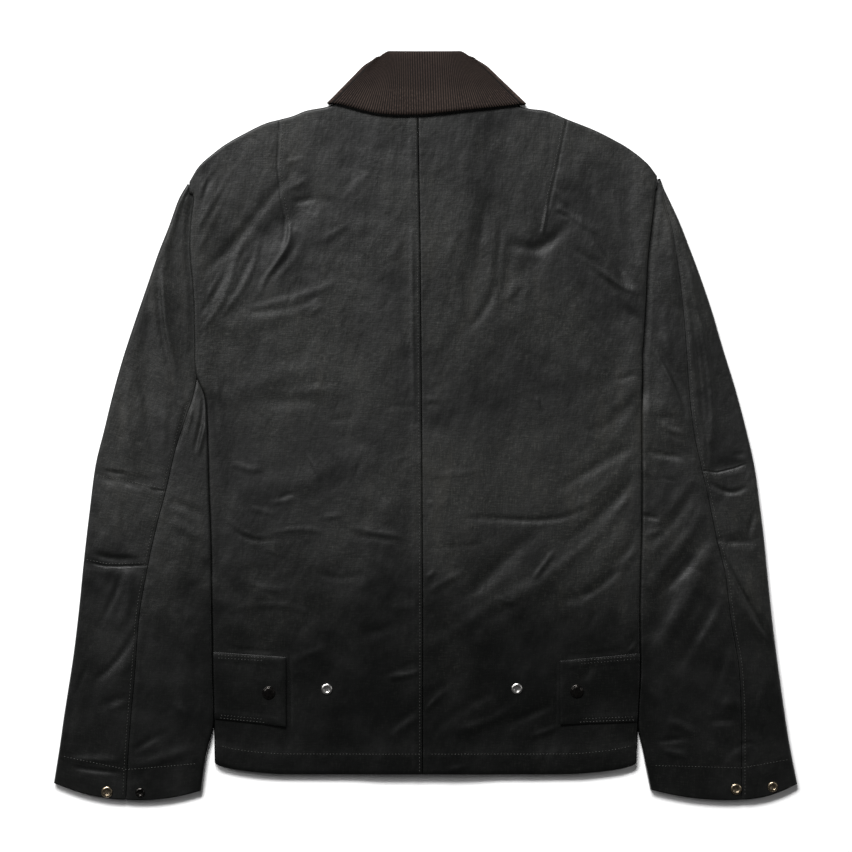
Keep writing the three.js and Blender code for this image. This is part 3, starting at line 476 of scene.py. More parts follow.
def inside_rim(x, y):
    """How far inside the body's side edge and its top edge."""
    out = np.abs(x)
    side = np.where(x < 0, edge_out("left", y), edge_out("right", y))
    top = np.where(x < 0, top_edge("left", out), top_edge("right", out))
    return side - out, top - y


def beside(path, x, y):
    """Signed distance from a line of points, positive on its left, and the length run along it."""
    nearest = np.full(x.shape, np.inf)
    signed, run = np.zeros_like(x), np.zeros_like(x)
    start = 0
    for (ax, ay), (bx, by) in zip(path, path[1:]):
        length = math.hypot(bx - ax, by - ay)
        t = np.clip(((x - ax) * (bx - ax) + (y - ay) * (by - ay)) / length**2, 0, 1)
        away = np.hypot(x - mix(ax, bx, t), y - mix(ay, by, t))
        turn = np.sign((bx - ax) * (y - ay) - (by - ay) * (x - ax))
        closer = away < nearest
        nearest = np.where(closer, away, nearest)
        signed = np.where(closer, away * turn, signed)
        run = np.where(closer, start + t * length, run)
        start += length
    return signed, run, start


# Collar wings under the fronts: pairs of points on the roll and on the free edge, and their outline
WING = [((40, 352), (99, 300)), ((24, 322), (82, 262)), ((8, 306), (50, 234))]
WING_OUTLINE = [
    (45, 386), (103, 335), (99, 300), (82, 262), (50, 234), (8, 306), (24, 322), (40, 352),
    (45, 386),
]


def wing_lift(x, y):
    """How far the fronts are held up by the collar's wings."""
    out = np.abs(x)
    away = np.abs(beside(WING_OUTLINE, out, y)[0])
    inside = np.zeros(out.shape, bool)
    for (ax, ay), (bx, by) in zip(WING_OUTLINE, WING_OUTLINE[1:]):
        inside ^= ((ay > y) != (by > y)) & (out < ax + (bx - ax) * (y - ay) / (by - ay))
    return WING_LIFT * fading(np.where(inside, 0, away), *WING_RAMP)


# Darts sewn across a panel: the side that the allowance is pressed to, as 1 for the left of the
# line, its width, the lengths over which it fades in and out, and the line
DARTS = {
    "back_left": [(1, 7, 0, 26, [(-151, 317), (-154, 270), (-150, 235), (-141, 192)])],
    "back_right": [(-1, 7, 0, 26, [(147, 318), (136, 265), (130, 239), (121, 192)])],
    "sleeve_left": [
        (1, 6, 10, 0, [(-344, -54), (-315, -59), (-294, -64), (-272, -68)]),
        (1, 6, 10, 0, [(-354, -141), (-332, -146), (-312, -146), (-289, -145)]),
    ],
    "sleeve_right": [
        (-1, 6, 0, 8, [(288, -47), (302, -49), (322, -44), (334, -39)]),
        (-1, 6, 0, 14, [(302, -119), (320, -121), (347, -121)]),
    ],
}


def dart_relief(darts, x, y):
    """A pressed allowance on one side of each dart, and a groove at its seam."""
    relief = np.zeros_like(x)
    for pressed, width, start, end, path in darts:
        away, run, length = beside(path, x, y)
        away = away * pressed
        fade = smoothstep(run, -0.1, start + 0.1) * fading(run, length - end - 0.1, length + 0.1)
        welt = smoothstep(away, 0, WELT_HALF) * fading(away, width, width + 2 * WELT_HALF)
        relief += fade * (DART_WELT * welt - DART_GROOVE * fading(np.abs(away), 0.1, 1.2))
    return relief


def waves(x, y, size, seed, count=9):
    """Soft uneven rise and fall, about as long as the given size, between -1 and 1."""
    rng = np.random.default_rng(seed)
    turns, phases = rng.uniform(0, math.pi, count), rng.uniform(0, 2 * math.pi, count)
    total = np.zeros_like(x)
    for turn, phase, scale in zip(turns, phases, rng.uniform(0.7, 1.5, count)):
        across, along = math.cos(turn), math.sin(turn)
        bend = 0.35 * size * np.sin((x * along - y * across) / (1.7 * size) + phase)
        total += np.sin(2 * math.pi * (x * across + y * along + bend) / (size * scale) + phase)
    return total / math.sqrt(count) / 1.6


def crumple(x, y):
    """Low uneven relief of cloth that has been worn and laid flat."""
    strength = 0.55 + 0.45 * waves(x, y, 210, 3)
    broad = waves(x, y, 62, 11)
    middle = waves(x + 6 * broad, y, 31, 5)
    small = waves(x, y + 4 * middle, 15, 7)
    return strength * (0.45 * broad + 0.28 * middle + 0.09 * small)


def back_base(x, y):
    """Height of the back's outer face, as in the solids."""
    out = np.abs(x)
    crown = CENTRE_CROWN * fading(out, 36, 90) * fading(y, 328, 372)
    sag = CENTRE_SAG * fading(out, 20, 46) * smoothstep(y, 350, 386)
    from_edge, from_top = inside_rim(x, y)
    lip_share = smoothstep(y, UNDERARM - 20, UNDERARM + LIP_RUN)
    lip = ARMHOLE_RISE * fading(from_edge, 8, 30) * lip_share
    hem_rise = HEM_RISE * fading(y, -350, -322)
    calm = smoothstep(from_top, 6, 34) * smoothstep(from_edge, 4, 18) * smoothstep(y, -352, -330)
    folds = FOLD_SHARE * fold_rise(x, y) * fold_freedom(x, y) * calm
    over_front = wing_lift(x, y) + 2 * CLOTH + 2 * GAP
    over_placket = np.where(out < 36, BACK_TOP + crown - sag, 0)
    height = BACK_TOP + crown + lip + hem_rise - sag + folds
    return np.maximum(np.maximum(height, over_front - sag), over_placket)


def back_height(x, y):
    """Height of the back's outer face with its seams, darts, hem and creases."""
    height = back_base(x, y)
    out = np.abs(x)
    from_edge, from_top = inside_rim(x, y)
    calm = smoothstep(from_edge, 2, 14) * smoothstep(from_top, 3, 16)
    fine = (crease_rise(BACK_CREASES, x, y) + crumple(x, y)) * calm * clear_of_snaps(x, y)
    fine = np.where(fine < 0, fine * (1 - 0.55 * fading(out, 34, 56)), fine)
    from_centre = centre_back(y) - x
    welt = CENTRE_WELT * smoothstep(from_centre, 0.2, 1.4) * fading(from_centre, 8, 12)
    groove = CENTRE_GROOVE * fading(np.abs(from_centre), 0.3, 1.6)
    from_hem_line = y - (hem_edge(out) + HEM_DEPTH)
    turned = HEM_STEP * fading(from_hem_line, -0.8, 1.2)
    pucker = HEM_PUCKER * np.sin(x / 2.6 + 2 * np.sin(x / 21)) * fading(np.abs(from_hem_line), 1, 8)
    darts = dart_relief([*DARTS["back_left"], *DARTS["back_right"]], x, y)
    return height + fine + welt - groove + turned + pucker + darts


def turn_end(side, x, y):
    """Where the turned edge of the back ends: at the fronts' level, or as a lip over the sleeve."""
    tip_x, tip_y = tip_of(side)
    up_armhole = smoothstep(y, UNDERARM, UNDERARM + LIP_RUN)
    near_tip = fading(np.hypot(np.abs(x) - tip_x, y - tip_y), 14, 30)
    on_armhole = np.where(edge_out(side, y) - np.abs(x) < 3, up_armhole, 0)
    return mix(wing_lift(x, y), SLEEVE_AT_ARMHOLE + LIP_GAP, np.maximum(on_armhole, near_tip))


# Mesh making

def cloth_piece(node, made, facing, thickness, finish, kind="cloth"):
    """A sheet of cloth from a grid of outer points, with its grain laid out in metres. It stands
    for a node of the frame and hides it."""
    points, cut = made
    name = f"{node}_{kind}"
    rows, columns = points.shape[:2]
    bm = bmesh.new()
    bmesh.ops.create_grid(bm, x_segments=columns - 1, y_segments=rows - 1, size=0.5)
    bm.verts.ensure_lookup_table()
    for vertex, place in zip(bm.verts, (points.reshape(-1, 3) * MM).tolist()):
        vertex.co = place
    grain = bm.loops.layers.uv.new("grain")
    lengths = (cut.reshape(-1, 2) * MM).tolist()
    for face in bm.faces:
        for loop in face.loops:
            loop[grain].uv = lengths[loop.vert.index]
    if facing < 0:
        bmesh.ops.reverse_faces(bm, faces=bm.faces)
    piece = object_from(name, bm, finish)
    wall = piece.modifiers.new("wall", "SOLIDIFY")
    wall.thickness = thickness * MM
    wall.offset = -1
    wall.use_even_offset = False
    dress(piece, node)
    return piece


def object_from(name, bm, finish):
    for face in bm.faces:
        face.smooth = True
    piece = placed(name, bm, finish)
    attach(piece, "root")
    return piece


def placed(name, bm, finish):
    """The mesh as an object of the scene."""
    mesh = bpy.data.meshes.new(name)
    bm.to_mesh(mesh)
    bm.free()
    mesh.materials.append(finish.material)
    return linked(name, mesh)


def linked(name, data):
    made = bpy.data.objects.new(name, data)
    bpy.context.scene.collection.objects.link(made)
    return made


def dress(piece, node):
    """The piece stands for a node of the frame, whose part it hides."""
    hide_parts(node)


# Materials

def operator(operation, swapped=False):
    """One of the sums and products of a Value."""
    def made(self, other):
        values = {0: other, 1: self} if swapped else {0: self, 1: other}
        return self.finish.node("ShaderNodeMath", {"operation": operation}, values)
    return made


class Value:
    """A socket that takes part in sums and products of a finish."""

    def __init__(self, finish, socket):
        self.finish = finish
        self.socket = socket

    __add__, __radd__ = operator("ADD"), operator("ADD", True)
    __sub__, __rsub__ = operator("SUBTRACT"), operator("SUBTRACT", True)
    __mul__, __rmul__ = operator("MULTIPLY"), operator("MULTIPLY", True)

    def __abs__(self):
        return self.finish.node("ShaderNodeMath", {"operation": "ABSOLUTE"}, {0: self})


class Finish:
    """A material that is put together node by node."""

    def __init__(self, name, **constants):
        self.name = name
        self.material = bpy.data.materials.new(name)
        self.material.use_nodes = True
        self.tree = self.material.node_tree
        self.shader = self.tree.nodes.get("Principled BSDF")
        self.surface(**constants)

    def put(self, socket, value):
        if isinstance(value, Value):
            self.tree.links.new(value.socket, socket)
        else:
            socket.default_value = value

    def surface(self, **inputs):
        for socket, value in inputs.items():
            self.put(self.shader.inputs[socket.replace("_", " ")], value)

    def node(self, kind, settings=None, values=None, output=0):
        made = self.tree.nodes.new(kind)
        for setting, value in (settings or {}).items():
            setattr(made, setting, value)
        for socket, value in (values or {}).items():
            self.put(made.inputs[socket], value)
        return Value(self, made.outputs[output])

    def object_place(self):
        return self.node("ShaderNodeTexCoord", output="Object")

    def part(self, place, axis):
        return self.node("ShaderNodeSeparateXYZ", {}, {0: place}, output=axis)

    def grain(self):
        return self.node("ShaderNodeUVMap", {"uv_map": "grain"})

    def noise(self, vector, scale, detail=3.0, roughness=0.5):
        values = {"Vector": vector, "Scale": scale, "Detail": detail, "Roughness": roughness}
        return self.node("ShaderNodeTexNoise", {}, values)

    def streaks(self, vector, scale, detail, roughness=0.6, turn=0.0):
        """Noise with a scale of its own along each axis."""
        values = {"Vector": vector, "Scale": scale, "Rotation": (0, 0, turn)}
        stretched = self.node("ShaderNodeMapping", {"vector_type": "POINT"}, values)
        return self.noise(stretched, 1.0, detail, roughness)

    def between(self, value, low, high, start=0.0, end=1.0):
        values = {"Value": value, "From Min": low, "From Max": high, "To Min": start, "To Max": end}
        return self.node("ShaderNodeMapRange", {"interpolation_type": "SMOOTHSTEP"}, values)

    def blend(self, share, first, second):
        values = {"Factor": share, 6: first, 7: second}
        return self.node("ShaderNodeMix", {"data_type": "RGBA"}, values, output=2)

    def bumped(self, height, distance, strength=1.0, normal=None):
        values = {"Height": height, "Distance": distance, "Strength": strength}
        if normal is not None:
            values["Normal"] = normal
        return self.node("ShaderNodeBump", {}, values)


WAXED_BLACK = (0.0012, 0.0014, 0.0013, 1)
# The lighter black below is blended in towards the neck as painted light, and in random hazed
# patches.
HAZED_AND_PAINTED_LIGHT_BLACK = (0.0052, 0.0056, 0.0048, 1)
DUST = (0.014, 0.0132, 0.0108, 1)
BARE_THREADS = (0.022, 0.022, 0.019, 1)


def waxed_cotton():
    """Near-black waxed cloth: a plain weave under wax, hazed in patches, with painted light that
    makes it lighter and hazier towards the neck.
    """
    finish = Finish("waxed_cotton", Specular_IOR_Level=0.3)
    place = finish.object_place()
    grain = finish.grain()
    haze = finish.noise(place, 7.5, 5, 0.58)
    patch = finish.noise(place, 26, 4, 0.6)
    height = finish.part(place, "Y")
    # Painted light: this mask lightens the cloth's colour towards the neck, where the head light
    # falls; it also makes the cloth rougher there.
    painted_top_light_and_rub = finish.between(height + 0.16 * haze, -0.19, 0.0)
    # Hazed patches weighted towards the neck by the painted light; the dust and bare threads below
    # follow them, so they carry painted light too.
    bloom_and_painted_top_light = finish.between(haze, 0.36, 0.68) * (0.1 + 0.9 * painted_top_light_and_rub)
    smear = finish.streaks(place, (60, 16, 30), 4, turn=0.5)
    dust_and_painted_top_light = finish.between(smear, 0.5, 0.72) * bloom_and_painted_top_light
    warp = finish.streaks(grain, (720, 110, 1), 2)
    weft = finish.streaks(grain, (110, 720, 1), 2)
    slubs = warp * 0.5 + weft * 0.5
    cloth = finish.blend(bloom_and_painted_top_light, WAXED_BLACK, HAZED_AND_PAINTED_LIGHT_BLACK)
    dusted = finish.blend(dust_and_painted_top_light * 0.6, cloth, DUST)
    worn_threads_and_painted_top_light = finish.between(slubs, 0.50, 0.64) * (0.08 + 0.7 * bloom_and_painted_top_light)
    threads = finish.blend(worn_threads_and_painted_top_light, dusted, BARE_THREADS)
    across = finish.part(place, "X")
    cuffs = finish.between(abs(across), 0.225, 0.25) * finish.between(height, -0.12, -0.24)
    waist = finish.between(height, 0.12, -0.05) * painted_top_light_and_rub
    shine = finish.between(patch, 0.3, 0.7, 0.30, 0.40) + 0.12 * painted_top_light_and_rub + 0.05 * waist
    shine = shine + 0.06 * cuffs + 0.05 * bloom_and_painted_top_light
    texture = (0.35 + 0.65 * painted_top_light_and_rub) * finish.between(haze, 0.3, 0.62, 0.5, 1.0)
    crinkle = finish.noise(place, 130, 5, 0.65)
    folds = finish.streaks(place, (70, 34, 50), 3, 0.5, 0.6)
    soft = finish.bumped(folds * (0.5 + 0.5 * painted_top_light_and_rub), 0.0022, 0.6)
    worn = finish.bumped(crinkle * texture, 0.0006, 0.6, soft)
    woven = finish.bumped(slubs * texture, 0.0003, 0.8, worn)
    finish.surface(Base_Color=threads, Roughness=shine, Normal=woven)
    return finish


# The trough colour is painted shade, darker than the wale tops.
CORD_TROUGH_SHADE = (0.0020, 0.0013, 0.0010, 1)
CORD_WALE = (0.0165, 0.0100, 0.0080, 1)
CORD_PILE = (0.052, 0.035, 0.028, 1)
CORD_WORN = (0.034, 0.0225, 0.018, 1)


def corduroy():
    """Brown cotton cord with a short pile on its wales and painted shade in the troughs between
    them.
    """
    finish = Finish("corduroy", Roughness=0.9, Sheen_Weight=0.12, Sheen_Roughness=0.4,
                    Sheen_Tint=(0.55, 0.42, 0.34, 1), Specular_IOR_Level=0.2)
    place = finish.object_place()
    pile = finish.streaks(finish.grain(), (900, 420, 1), 3)
    worn = finish.noise(place, 24, 4, 0.55)
    wale = finish.node("ShaderNodeAttribute", {"attribute_name": "wale"}, output="Fac")
    flared = finish.between(finish.part(place, "Y") + 0.02 * worn, 0.362, 0.352)
    ridge = finish.between(wale, 0.25, 0.95)
    # Painted shade: the colour darkens from the wale tops down into the troughs.
    wale_over_trough_shade = finish.blend(ridge, CORD_TROUGH_SHADE, CORD_WALE)
    brushed = finish.between(pile, 0.4, 0.7) * ridge * (0.35 + 0.5 * flared)
    lit = finish.blend(brushed, wale_over_trough_shade, CORD_PILE)
    colour = finish.blend(finish.between(worn, 0.42, 0.62) * ridge * 0.45, lit, CORD_WORN)
    finish.surface(Base_Color=colour, Normal=finish.bumped(pile, 0.0004, 0.7))
    return finish


def thread():
    """Dark polyester sewing thread, two strands laid together."""
    finish = Finish("thread", Roughness=0.42)
    strand = finish.noise(finish.object_place(), 1400, 1)
    colour = finish.blend(strand, (0.022, 0.023, 0.021, 1), (0.044, 0.044, 0.040, 1))
    finish.surface(Base_Color=colour)
    return finish


def metal(name, dark, light, roughness):
    """A plated snap, a little scuffed."""
    finish = Finish(name, Metallic=0.95)
    place = finish.object_place()
    tone = finish.noise(place, 420, 4, 0.6)
    scuff = finish.streaks(place, (2600, 500, 900), 2, 0.5, 0.7)
    colour = finish.blend(finish.between(tone, 0.35, 0.7), dark, light)
    rough = finish.between(scuff, 0.4, 0.75, roughness, roughness + 0.16)
    finish.surface(Base_Color=colour, Roughness=rough, Normal=finish.bumped(scuff, 0.00004, 0.4))
    return finish


WAXED = waxed_cotton()
CORD = corduroy()
THREAD = thread()
GUNMETAL = metal("gunmetal_snap", (0.018, 0.017, 0.016, 1), (0.040, 0.037, 0.034, 1), 0.14)
NICKEL = metal("nickel_snap", (0.30, 0.29, 0.28, 1), (0.55, 0.54, 0.52, 1), 0.22)
BRASS = metal("brass_snap", (0.12, 0.095, 0.065, 1), (0.34, 0.28, 0.20, 1), 0.22)


# Body

BODY_ROWS = 260
BODY_LENGTH = 690
BODY_END = 0.978
BODY_COLUMNS = ((12, 1.2), (112, 2.8), (160, 1.2), (212, 2.8))
HEM_ROWS = 11
FRONT_ROWS = 130


def spaced(*spans):
    """Stations from nought, each span given by where it ends and the step in it."""
    places = [np.zeros(1)]
    for end, step in spans:
        start = places[-1][-1]
        places.append(np.linspace(start, end, max(round((end - start) / step), 1) + 1)[1:])
    return np.concatenate(places)


def stations(*parts):
    """Rows or columns of a panel as arrays of their share, inset, angle and end."""
    return [np.concatenate(column) for column in zip(*parts)]


def edge_stations():
    """From the flat cloth over the fold at an edge to its turned end."""
    flat = np.array([12.0, 9.5, 7.0, 5.0])
    angles = np.radians(np.arange(0, 91, 15.0))
    swell = np.array([-0.5 * EDGE_SWELL, -EDGE_SWELL])
    return [
        (np.ones(4), flat, np.zeros(4), np.zeros(4)),
        (np.ones(7), FOLD_RADIUS * (1 - np.sin(angles)), 1 - np.cos(angles), np.zeros(7)),
        (np.ones(2), swell, np.ones(2), np.array([0.5, 1.0])),
    ]


def back_panel(side):
    sign = sign_of(side)
    tip_out, tip_y = tip_of(side)
    across = spaced(*BODY_COLUMNS) / BODY_COLUMNS[-1][0]
    columns = stations((across, 0 * across + EDGE_RUN, 0 * across, 0 * across), *edge_stations())
    hem = np.linspace(0, -HEM_DEPTH, HEM_ROWS)
    hem[1] = -HEM_ROUNDING
    body = np.linspace((HEM_DEPTH + 6) / BODY_LENGTH, BODY_END, BODY_ROWS)
    rows = stations(
        (0 * hem, hem, 0 * hem, 0 * hem), (body, 0 * body, 0 * body, 0 * body), *edge_stations())
    share_u, inset_u, fall_u, end_u = (value[None, :] for value in columns)
    share_v, inset_v, fall_v, end_v = (value[:, None] for value in rows)
    at_hem = share_v == 0
    edge_y = mix(SIDE_FOOT, tip_y, share_v)
    edge = sign * edge_out(side, edge_y - np.where(at_hem, inset_v, 0))
    centre = centre_back(mix(CENTRE_FOOT, NECKLINE, share_v)) + sign * GAP / 2
    into_fold = np.where(share_u == 1, sign * (EDGE_RUN - inset_u), 0)
    top_x = mix(-8, sign * (tip_out - EDGE_RUN), share_u) + into_fold
    x = mix(centre, edge - sign * EDGE_RUN, share_u) + into_fold
    y = mix(hem_edge(np.abs(x)), top_edge(side, np.abs(top_x)), share_v) - inset_v
    on_neck = fading(np.abs(x), 78, 92)
    height = back_height(x, y)
    end = turn_end(side, x, y)
    depth = np.minimum(FOLD_RADIUS, FOLD_DEPTH_SHARE * (height - end))
    neck_depth = mix(depth, NECK_ROUNDING, on_neck)
    rounding = np.where(at_hem & (inset_v > -1), 0.5 * (1 + inset_v), 0)
    fall = np.hypot(fall_u * depth, fall_v * neck_depth) + rounding
    turned = height - np.minimum(fall, depth + MOST_PAST_FOLD)
    z = mix(turned, end, np.maximum(end_v * (1 - on_neck), end_u))
    return np.stack([x, y, z], -1), np.stack([np.abs(x), y], -1)


def front_height(side, x, y):
    wings = wing_lift(x, y)
    near_centre = 1 - np.clip((np.abs(x) - PLACKET_LEVEL) / PLACKET_RAMP, 0, 1)
    if side == "left":
        return np.maximum(wings, PLACKET_LIFT * near_centre)
    held = np.maximum(wings, PLACKET_LIFT)
    return mix(wings, held + CLOTH + GAP, np.where(x < 0, 1, near_centre))


def neck_line(out):
    return FRONT_NECK + FRONT_NECK_DROP * (out / NECK_POINT) ** 2


def front_panel(side):
    sign = sign_of(side)
    tip_out, tip_y = tip_of(side)
    start = PLACKET_LEVEL + PLACKET_RAMP
    closing = np.linspace(-PLACKET_HALF, start, 14)
    share = np.concatenate([0 * closing, np.linspace(0, 1, 40)[1:]])[None, :]
    fixed = np.concatenate([closing, np.full(39, start)])[None, :]
    v = np.linspace(0, 1, FRONT_ROWS)[:, None]
    side_y = mix(SIDE_FOOT, tip_y, v)
    inset = mix(HEM_INSET, FRONT_INSET, smoothstep(side_y, -330, -300))
    edge = sign * (edge_out(side, side_y) - inset)
    x = np.where(share > 0, mix(sign * start, edge, share), sign * fixed + 0 * v)
    tip = sign * (tip_out - FRONT_INSET)
    top_x = np.where(share > 0, mix(sign * start, tip, share), sign * fixed)
    shoulder = top_edge(side, np.abs(top_x)) - SHOULDER_INSET
    neck = np.minimum(neck_line(np.abs(top_x)), shoulder)
    y = mix(hem_edge(np.abs(x)), np.where(np.abs(top_x) > NECK_POINT, shoulder, neck), v)
    return np.stack([x, y, front_height(side, x, y)], -1), np.stack([x, y], -1)


# Sleeves

SLEEVE_ROWS = spaced(
    (0.9, 0.03), (4.5, 0.065), (5.5, 0.024), (6.9, 0.065), (8.1, 0.024), (16, 0.065))


def sleeve_sections(side, row):
    """Sections of a sleeve at the given rows of its table."""
    columns = SLEEVE_SECTIONS[side]
    value = {name: look_up(columns, "row", name, row) for name in columns}
    sign = sign_of(side)
    in_y = value["inY"]
    edge = edge_out(side, in_y)
    return {
        "outer": np.stack([sign * value["outX"], value["outY"]], -1),
        "seam": np.stack([sign * value["seamX"], value["seamY"]], -1),
        "inner": np.stack([sign * (edge + value["gap"] + SLEEVE_TOUCH), in_y], -1),
        "tucked": np.stack([sign * (edge - TUCK), in_y], -1),
        "armhole": smoothstep(in_y, UNDERARM + LIP_RUN + 8, UNDERARM + LIP_RUN + 30),
        "bow": CUFF_BOW * np.maximum(1 - row, 0),
    }


def sleeve_height(side, x, y):
    from_armhole = np.abs(x) - edge_out(side, y)
    up = smoothstep(y, UNDERARM - 24, UNDERARM + 8)
    low = fading(from_armhole, 5, 30) * up
    calm = (1 - low) * smoothstep(y, -372, -345)
    folds = FOLD_SHARE * np.maximum(fold_rise(x, y) * calm, DEEPEST_SLEEVE_FOLD)
    height = mix(SLEEVE_TOP, SLEEVE_AT_ARMHOLE, low) + folds
    height = height - SLEEVE_LIP * fading(from_armhole, 1, 8) * up
    still = smoothstep(y, -388, -374) * (1 - 0.6 * low) * clear_of_snaps(x, y)
    height = height + (crease_rise(SLEEVE_CREASES, x, y) + SLEEVE_CRUMPLE * crumple(x, y)) * still
    return height + dart_relief(DARTS["sleeve_" + side], x, y) * (1 - low)


def unit(vectors):
    return vectors / np.linalg.norm(vectors, axis=-1, keepdims=True)


def lines_between(start, end, shares):
    """Points at the given shares of the lines from one point, or row of points, to another."""
    return start[..., None, :] + (end - start)[..., None, :] * shares[:, None]


def laid_between(start, end, bow, shares):
    """Points on lines across a sleeve. The cuff's edge bows outwards between its ends."""
    points = lines_between(start, end, shares)
    points[..., 1] -= 4 * bow[:, None] * (shares * (1 - shares))[None, :]
    return points


def raised(flat, z):
    return np.concatenate([flat, z[..., None]], -1)


def upper_face(side, start, turn, bow, count):
    """The side of a sleeve's piece that faces up, from its seam to its fold."""
    shares = np.concatenate([[0, 0.012], np.linspace(0.035, 1, count)])
    flat = laid_between(start, turn, bow, shares)
    away = np.linalg.norm(flat - start[:, None, :], axis=-1)
    height = sleeve_height(side, flat[..., 0], flat[..., 1])
    return shares, flat, height, SEAM_DIP * fading(away, 0.4, 3)


def sleeve_top(side):
    section = sleeve_sections(side, SLEEVE_ROWS)
    outer, seam, inner, bow = (section[name] for name in ("outer", "seam", "inner", "bow"))
    inwards = unit(seam - outer)
    rise = sleeve_height(side, outer[:, 0], outer[:, 1])
    radius = np.minimum(rise / 2, np.linalg.norm(seam - outer, axis=-1) * 0.3)
    turn = outer + inwards * radius[:, None]
    shares, over, lift, dip = upper_face(side, seam - inwards * GAP / 2, turn, bow, 30)
    over_z = mix(lift, rise[:, None], smoothstep(shares, 0.8, 1)[None, :]) - dip
    angles = np.radians(np.arange(75, -90, -15.0))
    reach = radius[:, None] * (1 - np.cos(angles))[None, :]
    fold = outer[:, None, :] + inwards[:, None, :] * reach[..., None]
    fold_z = rise[:, None] / 2 * (1 + np.sin(angles))[None, :]
    opened = smoothstep(inner[:, 1], UNDERARM + 42, UNDERARM + 72)
    at_tip = SLEEVE_TIP_REACH * smoothstep(inner[:, 1], 200, 235)
    cloth = np.where(SLEEVE_ROWS < 1.2, HEM_CLOTH, CLOTH)
    at_corner = 0
    if side == "left":
        at_corner = UNDERARM_SHORT * fading(np.abs(inner[:, 1] - UNDERARM - 4), 12, 38)
    below = at_tip - SLEEVE_CLEARANCE - FRONT_INSET + 2 * GAP
    away_x = mix(cloth + GAP + 0.4, below, opened) + at_corner
    end = inner + np.stack([sign_of(side) * away_x, 0 * away_x], -1)
    under = laid_between(turn, end, 3 * bow, np.linspace(0, 1, 9))
    flat = np.concatenate([over, fold, under], axis=1)
    z = np.concatenate([over_z, fold_z, np.zeros(under.shape[:2])], axis=1)
    return with_cut(flat, z, section)


# The under sleeve's fold beside the body, and how far each of its lines is tucked below the back
TUCK_ANGLES = np.radians([15, 30, 45, 60, 75, 90, 90])
TUCK_SHARES = np.array([0.18, 0.35, 0.48, 0.6, 0.72, 0.85, 1])
TUCK_END = np.array([0, 0, 0, 0, 0, 0, 1.0])


def sleeve_under(side):
    last = SEAM_END[side]
    section = sleeve_sections(side, np.append(SLEEVE_ROWS[SLEEVE_ROWS < last - 0.01], last))
    seam, inner, tucked, bow = (section[name] for name in ("seam", "inner", "tucked", "bow"))
    armhole = section["armhole"][:, None]
    outwards = unit(seam - inner)
    turn = inner + outwards * FOLD_RADIUS
    _, over, lift, dip = upper_face(side, seam - outwards * GAP / 2, turn, bow, 32)
    rise = lift[:, -1:]
    reach = FOLD_RADIUS * (1 - np.sin(TUCK_ANGLES)) - EDGE_SWELL * TUCK_END
    beside_body = inner[:, None, :] + outwards[:, None, :] * reach[None, :, None]
    below_back = lines_between(turn, tucked, TUCK_SHARES)
    flat = mix(beside_body, below_back, smoothstep(armhole, 0.4, 1)[..., None])
    fall = np.where(TUCK_END == 1, rise, FOLD_RADIUS * (1 - np.cos(TUCK_ANGLES)))
    z = mix(rise - fall, np.minimum(rise, SLEEVE_AT_ARMHOLE), smoothstep(armhole, 0, 0.5))
    flat = np.concatenate([over, flat], axis=1)
    return with_cut(flat, np.concatenate([lift - dip, z], axis=1), section)


def with_cut(flat, z, section):
    """Points of a sleeve with the grain running from cuff to shoulder."""
    points = raised(flat, z)
    middle = (section["outer"] + section["inner"]) / 2
    along = np.concatenate([[0], np.cumsum(np.linalg.norm(np.diff(middle, axis=0), axis=-1))])
    steps = np.linalg.norm(np.diff(points, axis=1), axis=-1)
    across = np.concatenate([np.zeros((len(flat), 1)), np.cumsum(steps, axis=1)], axis=1)
    return points, np.stack([across, along[:, None] + 0 * across], -1)


# Collar

FALL_EDGE = table("x y", [
    (-103, 335), (-88, 333), (-62, 326), (-41, 322.5), (-7, 322), (15, 324), (42, 327), (94, 333),
    (105, 335),
])
SLANT = Vector((COLLAR_HALF - ROLL_HALF, 335 - COLLAR_TOP)).normalized()
# Lines of the collar from its free edge up to the roll, and how far each is curled over it
RISES = np.linspace(0, 0.93, 16)
CURLS = np.array([0.14, 0.28, 0.42, 0.55, 0.7, 0.85, 1.0])
FALL_SHARES = np.append(RISES, np.ones(len(CURLS)))
FALL_CURLS = np.append(np.zeros(len(RISES)), CURLS)
# The wale that runs along the collar's slanted sides, by line from the fall outwards
SIDE_RIB_LINES = (0, 1, 2, 3, 4, 6, 7)
SIDE_RIBS = (1, 0.9, 0.8, 0.7, 0.6, 0.5, 0)
# Below 1 the fold at the side is flatter above and rounder at its edge
FOLD_SQUARENESS = 0.5


def collar_height(x, y):
    return back_base(x, y) + COLLAR_REST + UNDERCOLLAR_CLOTH + GAP + CORDUROY


def collar_line(share, inset):
    """Free edge and roll of the collar's back part. Share runs from -1 to 1 across it."""
    reach = COLLAR_HALF + inset / SLANT.y
    free_x = COLLAR_MIDDLE + reach * share
    free = np.stack([free_x, look_up(FALL_EDGE, "x", "y", free_x)], -1)
    half = ROLL_HALF - inset * 0.6
    roll_x = COLLAR_MIDDLE - 2 + half * np.tanh(reach * share / half) / np.tanh(reach / half)
    cornered = CORNER_RUN * smoothstep(np.abs(share), 0.6, 1)
    roll_x = roll_x + np.sign(share) * SLANT.x * cornered
    return free, np.stack([roll_x, COLLAR_TOP + SLANT.y * cornered], -1)


def side_rib(line):
    return np.interp(line, SIDE_RIB_LINES, SIDE_RIBS)


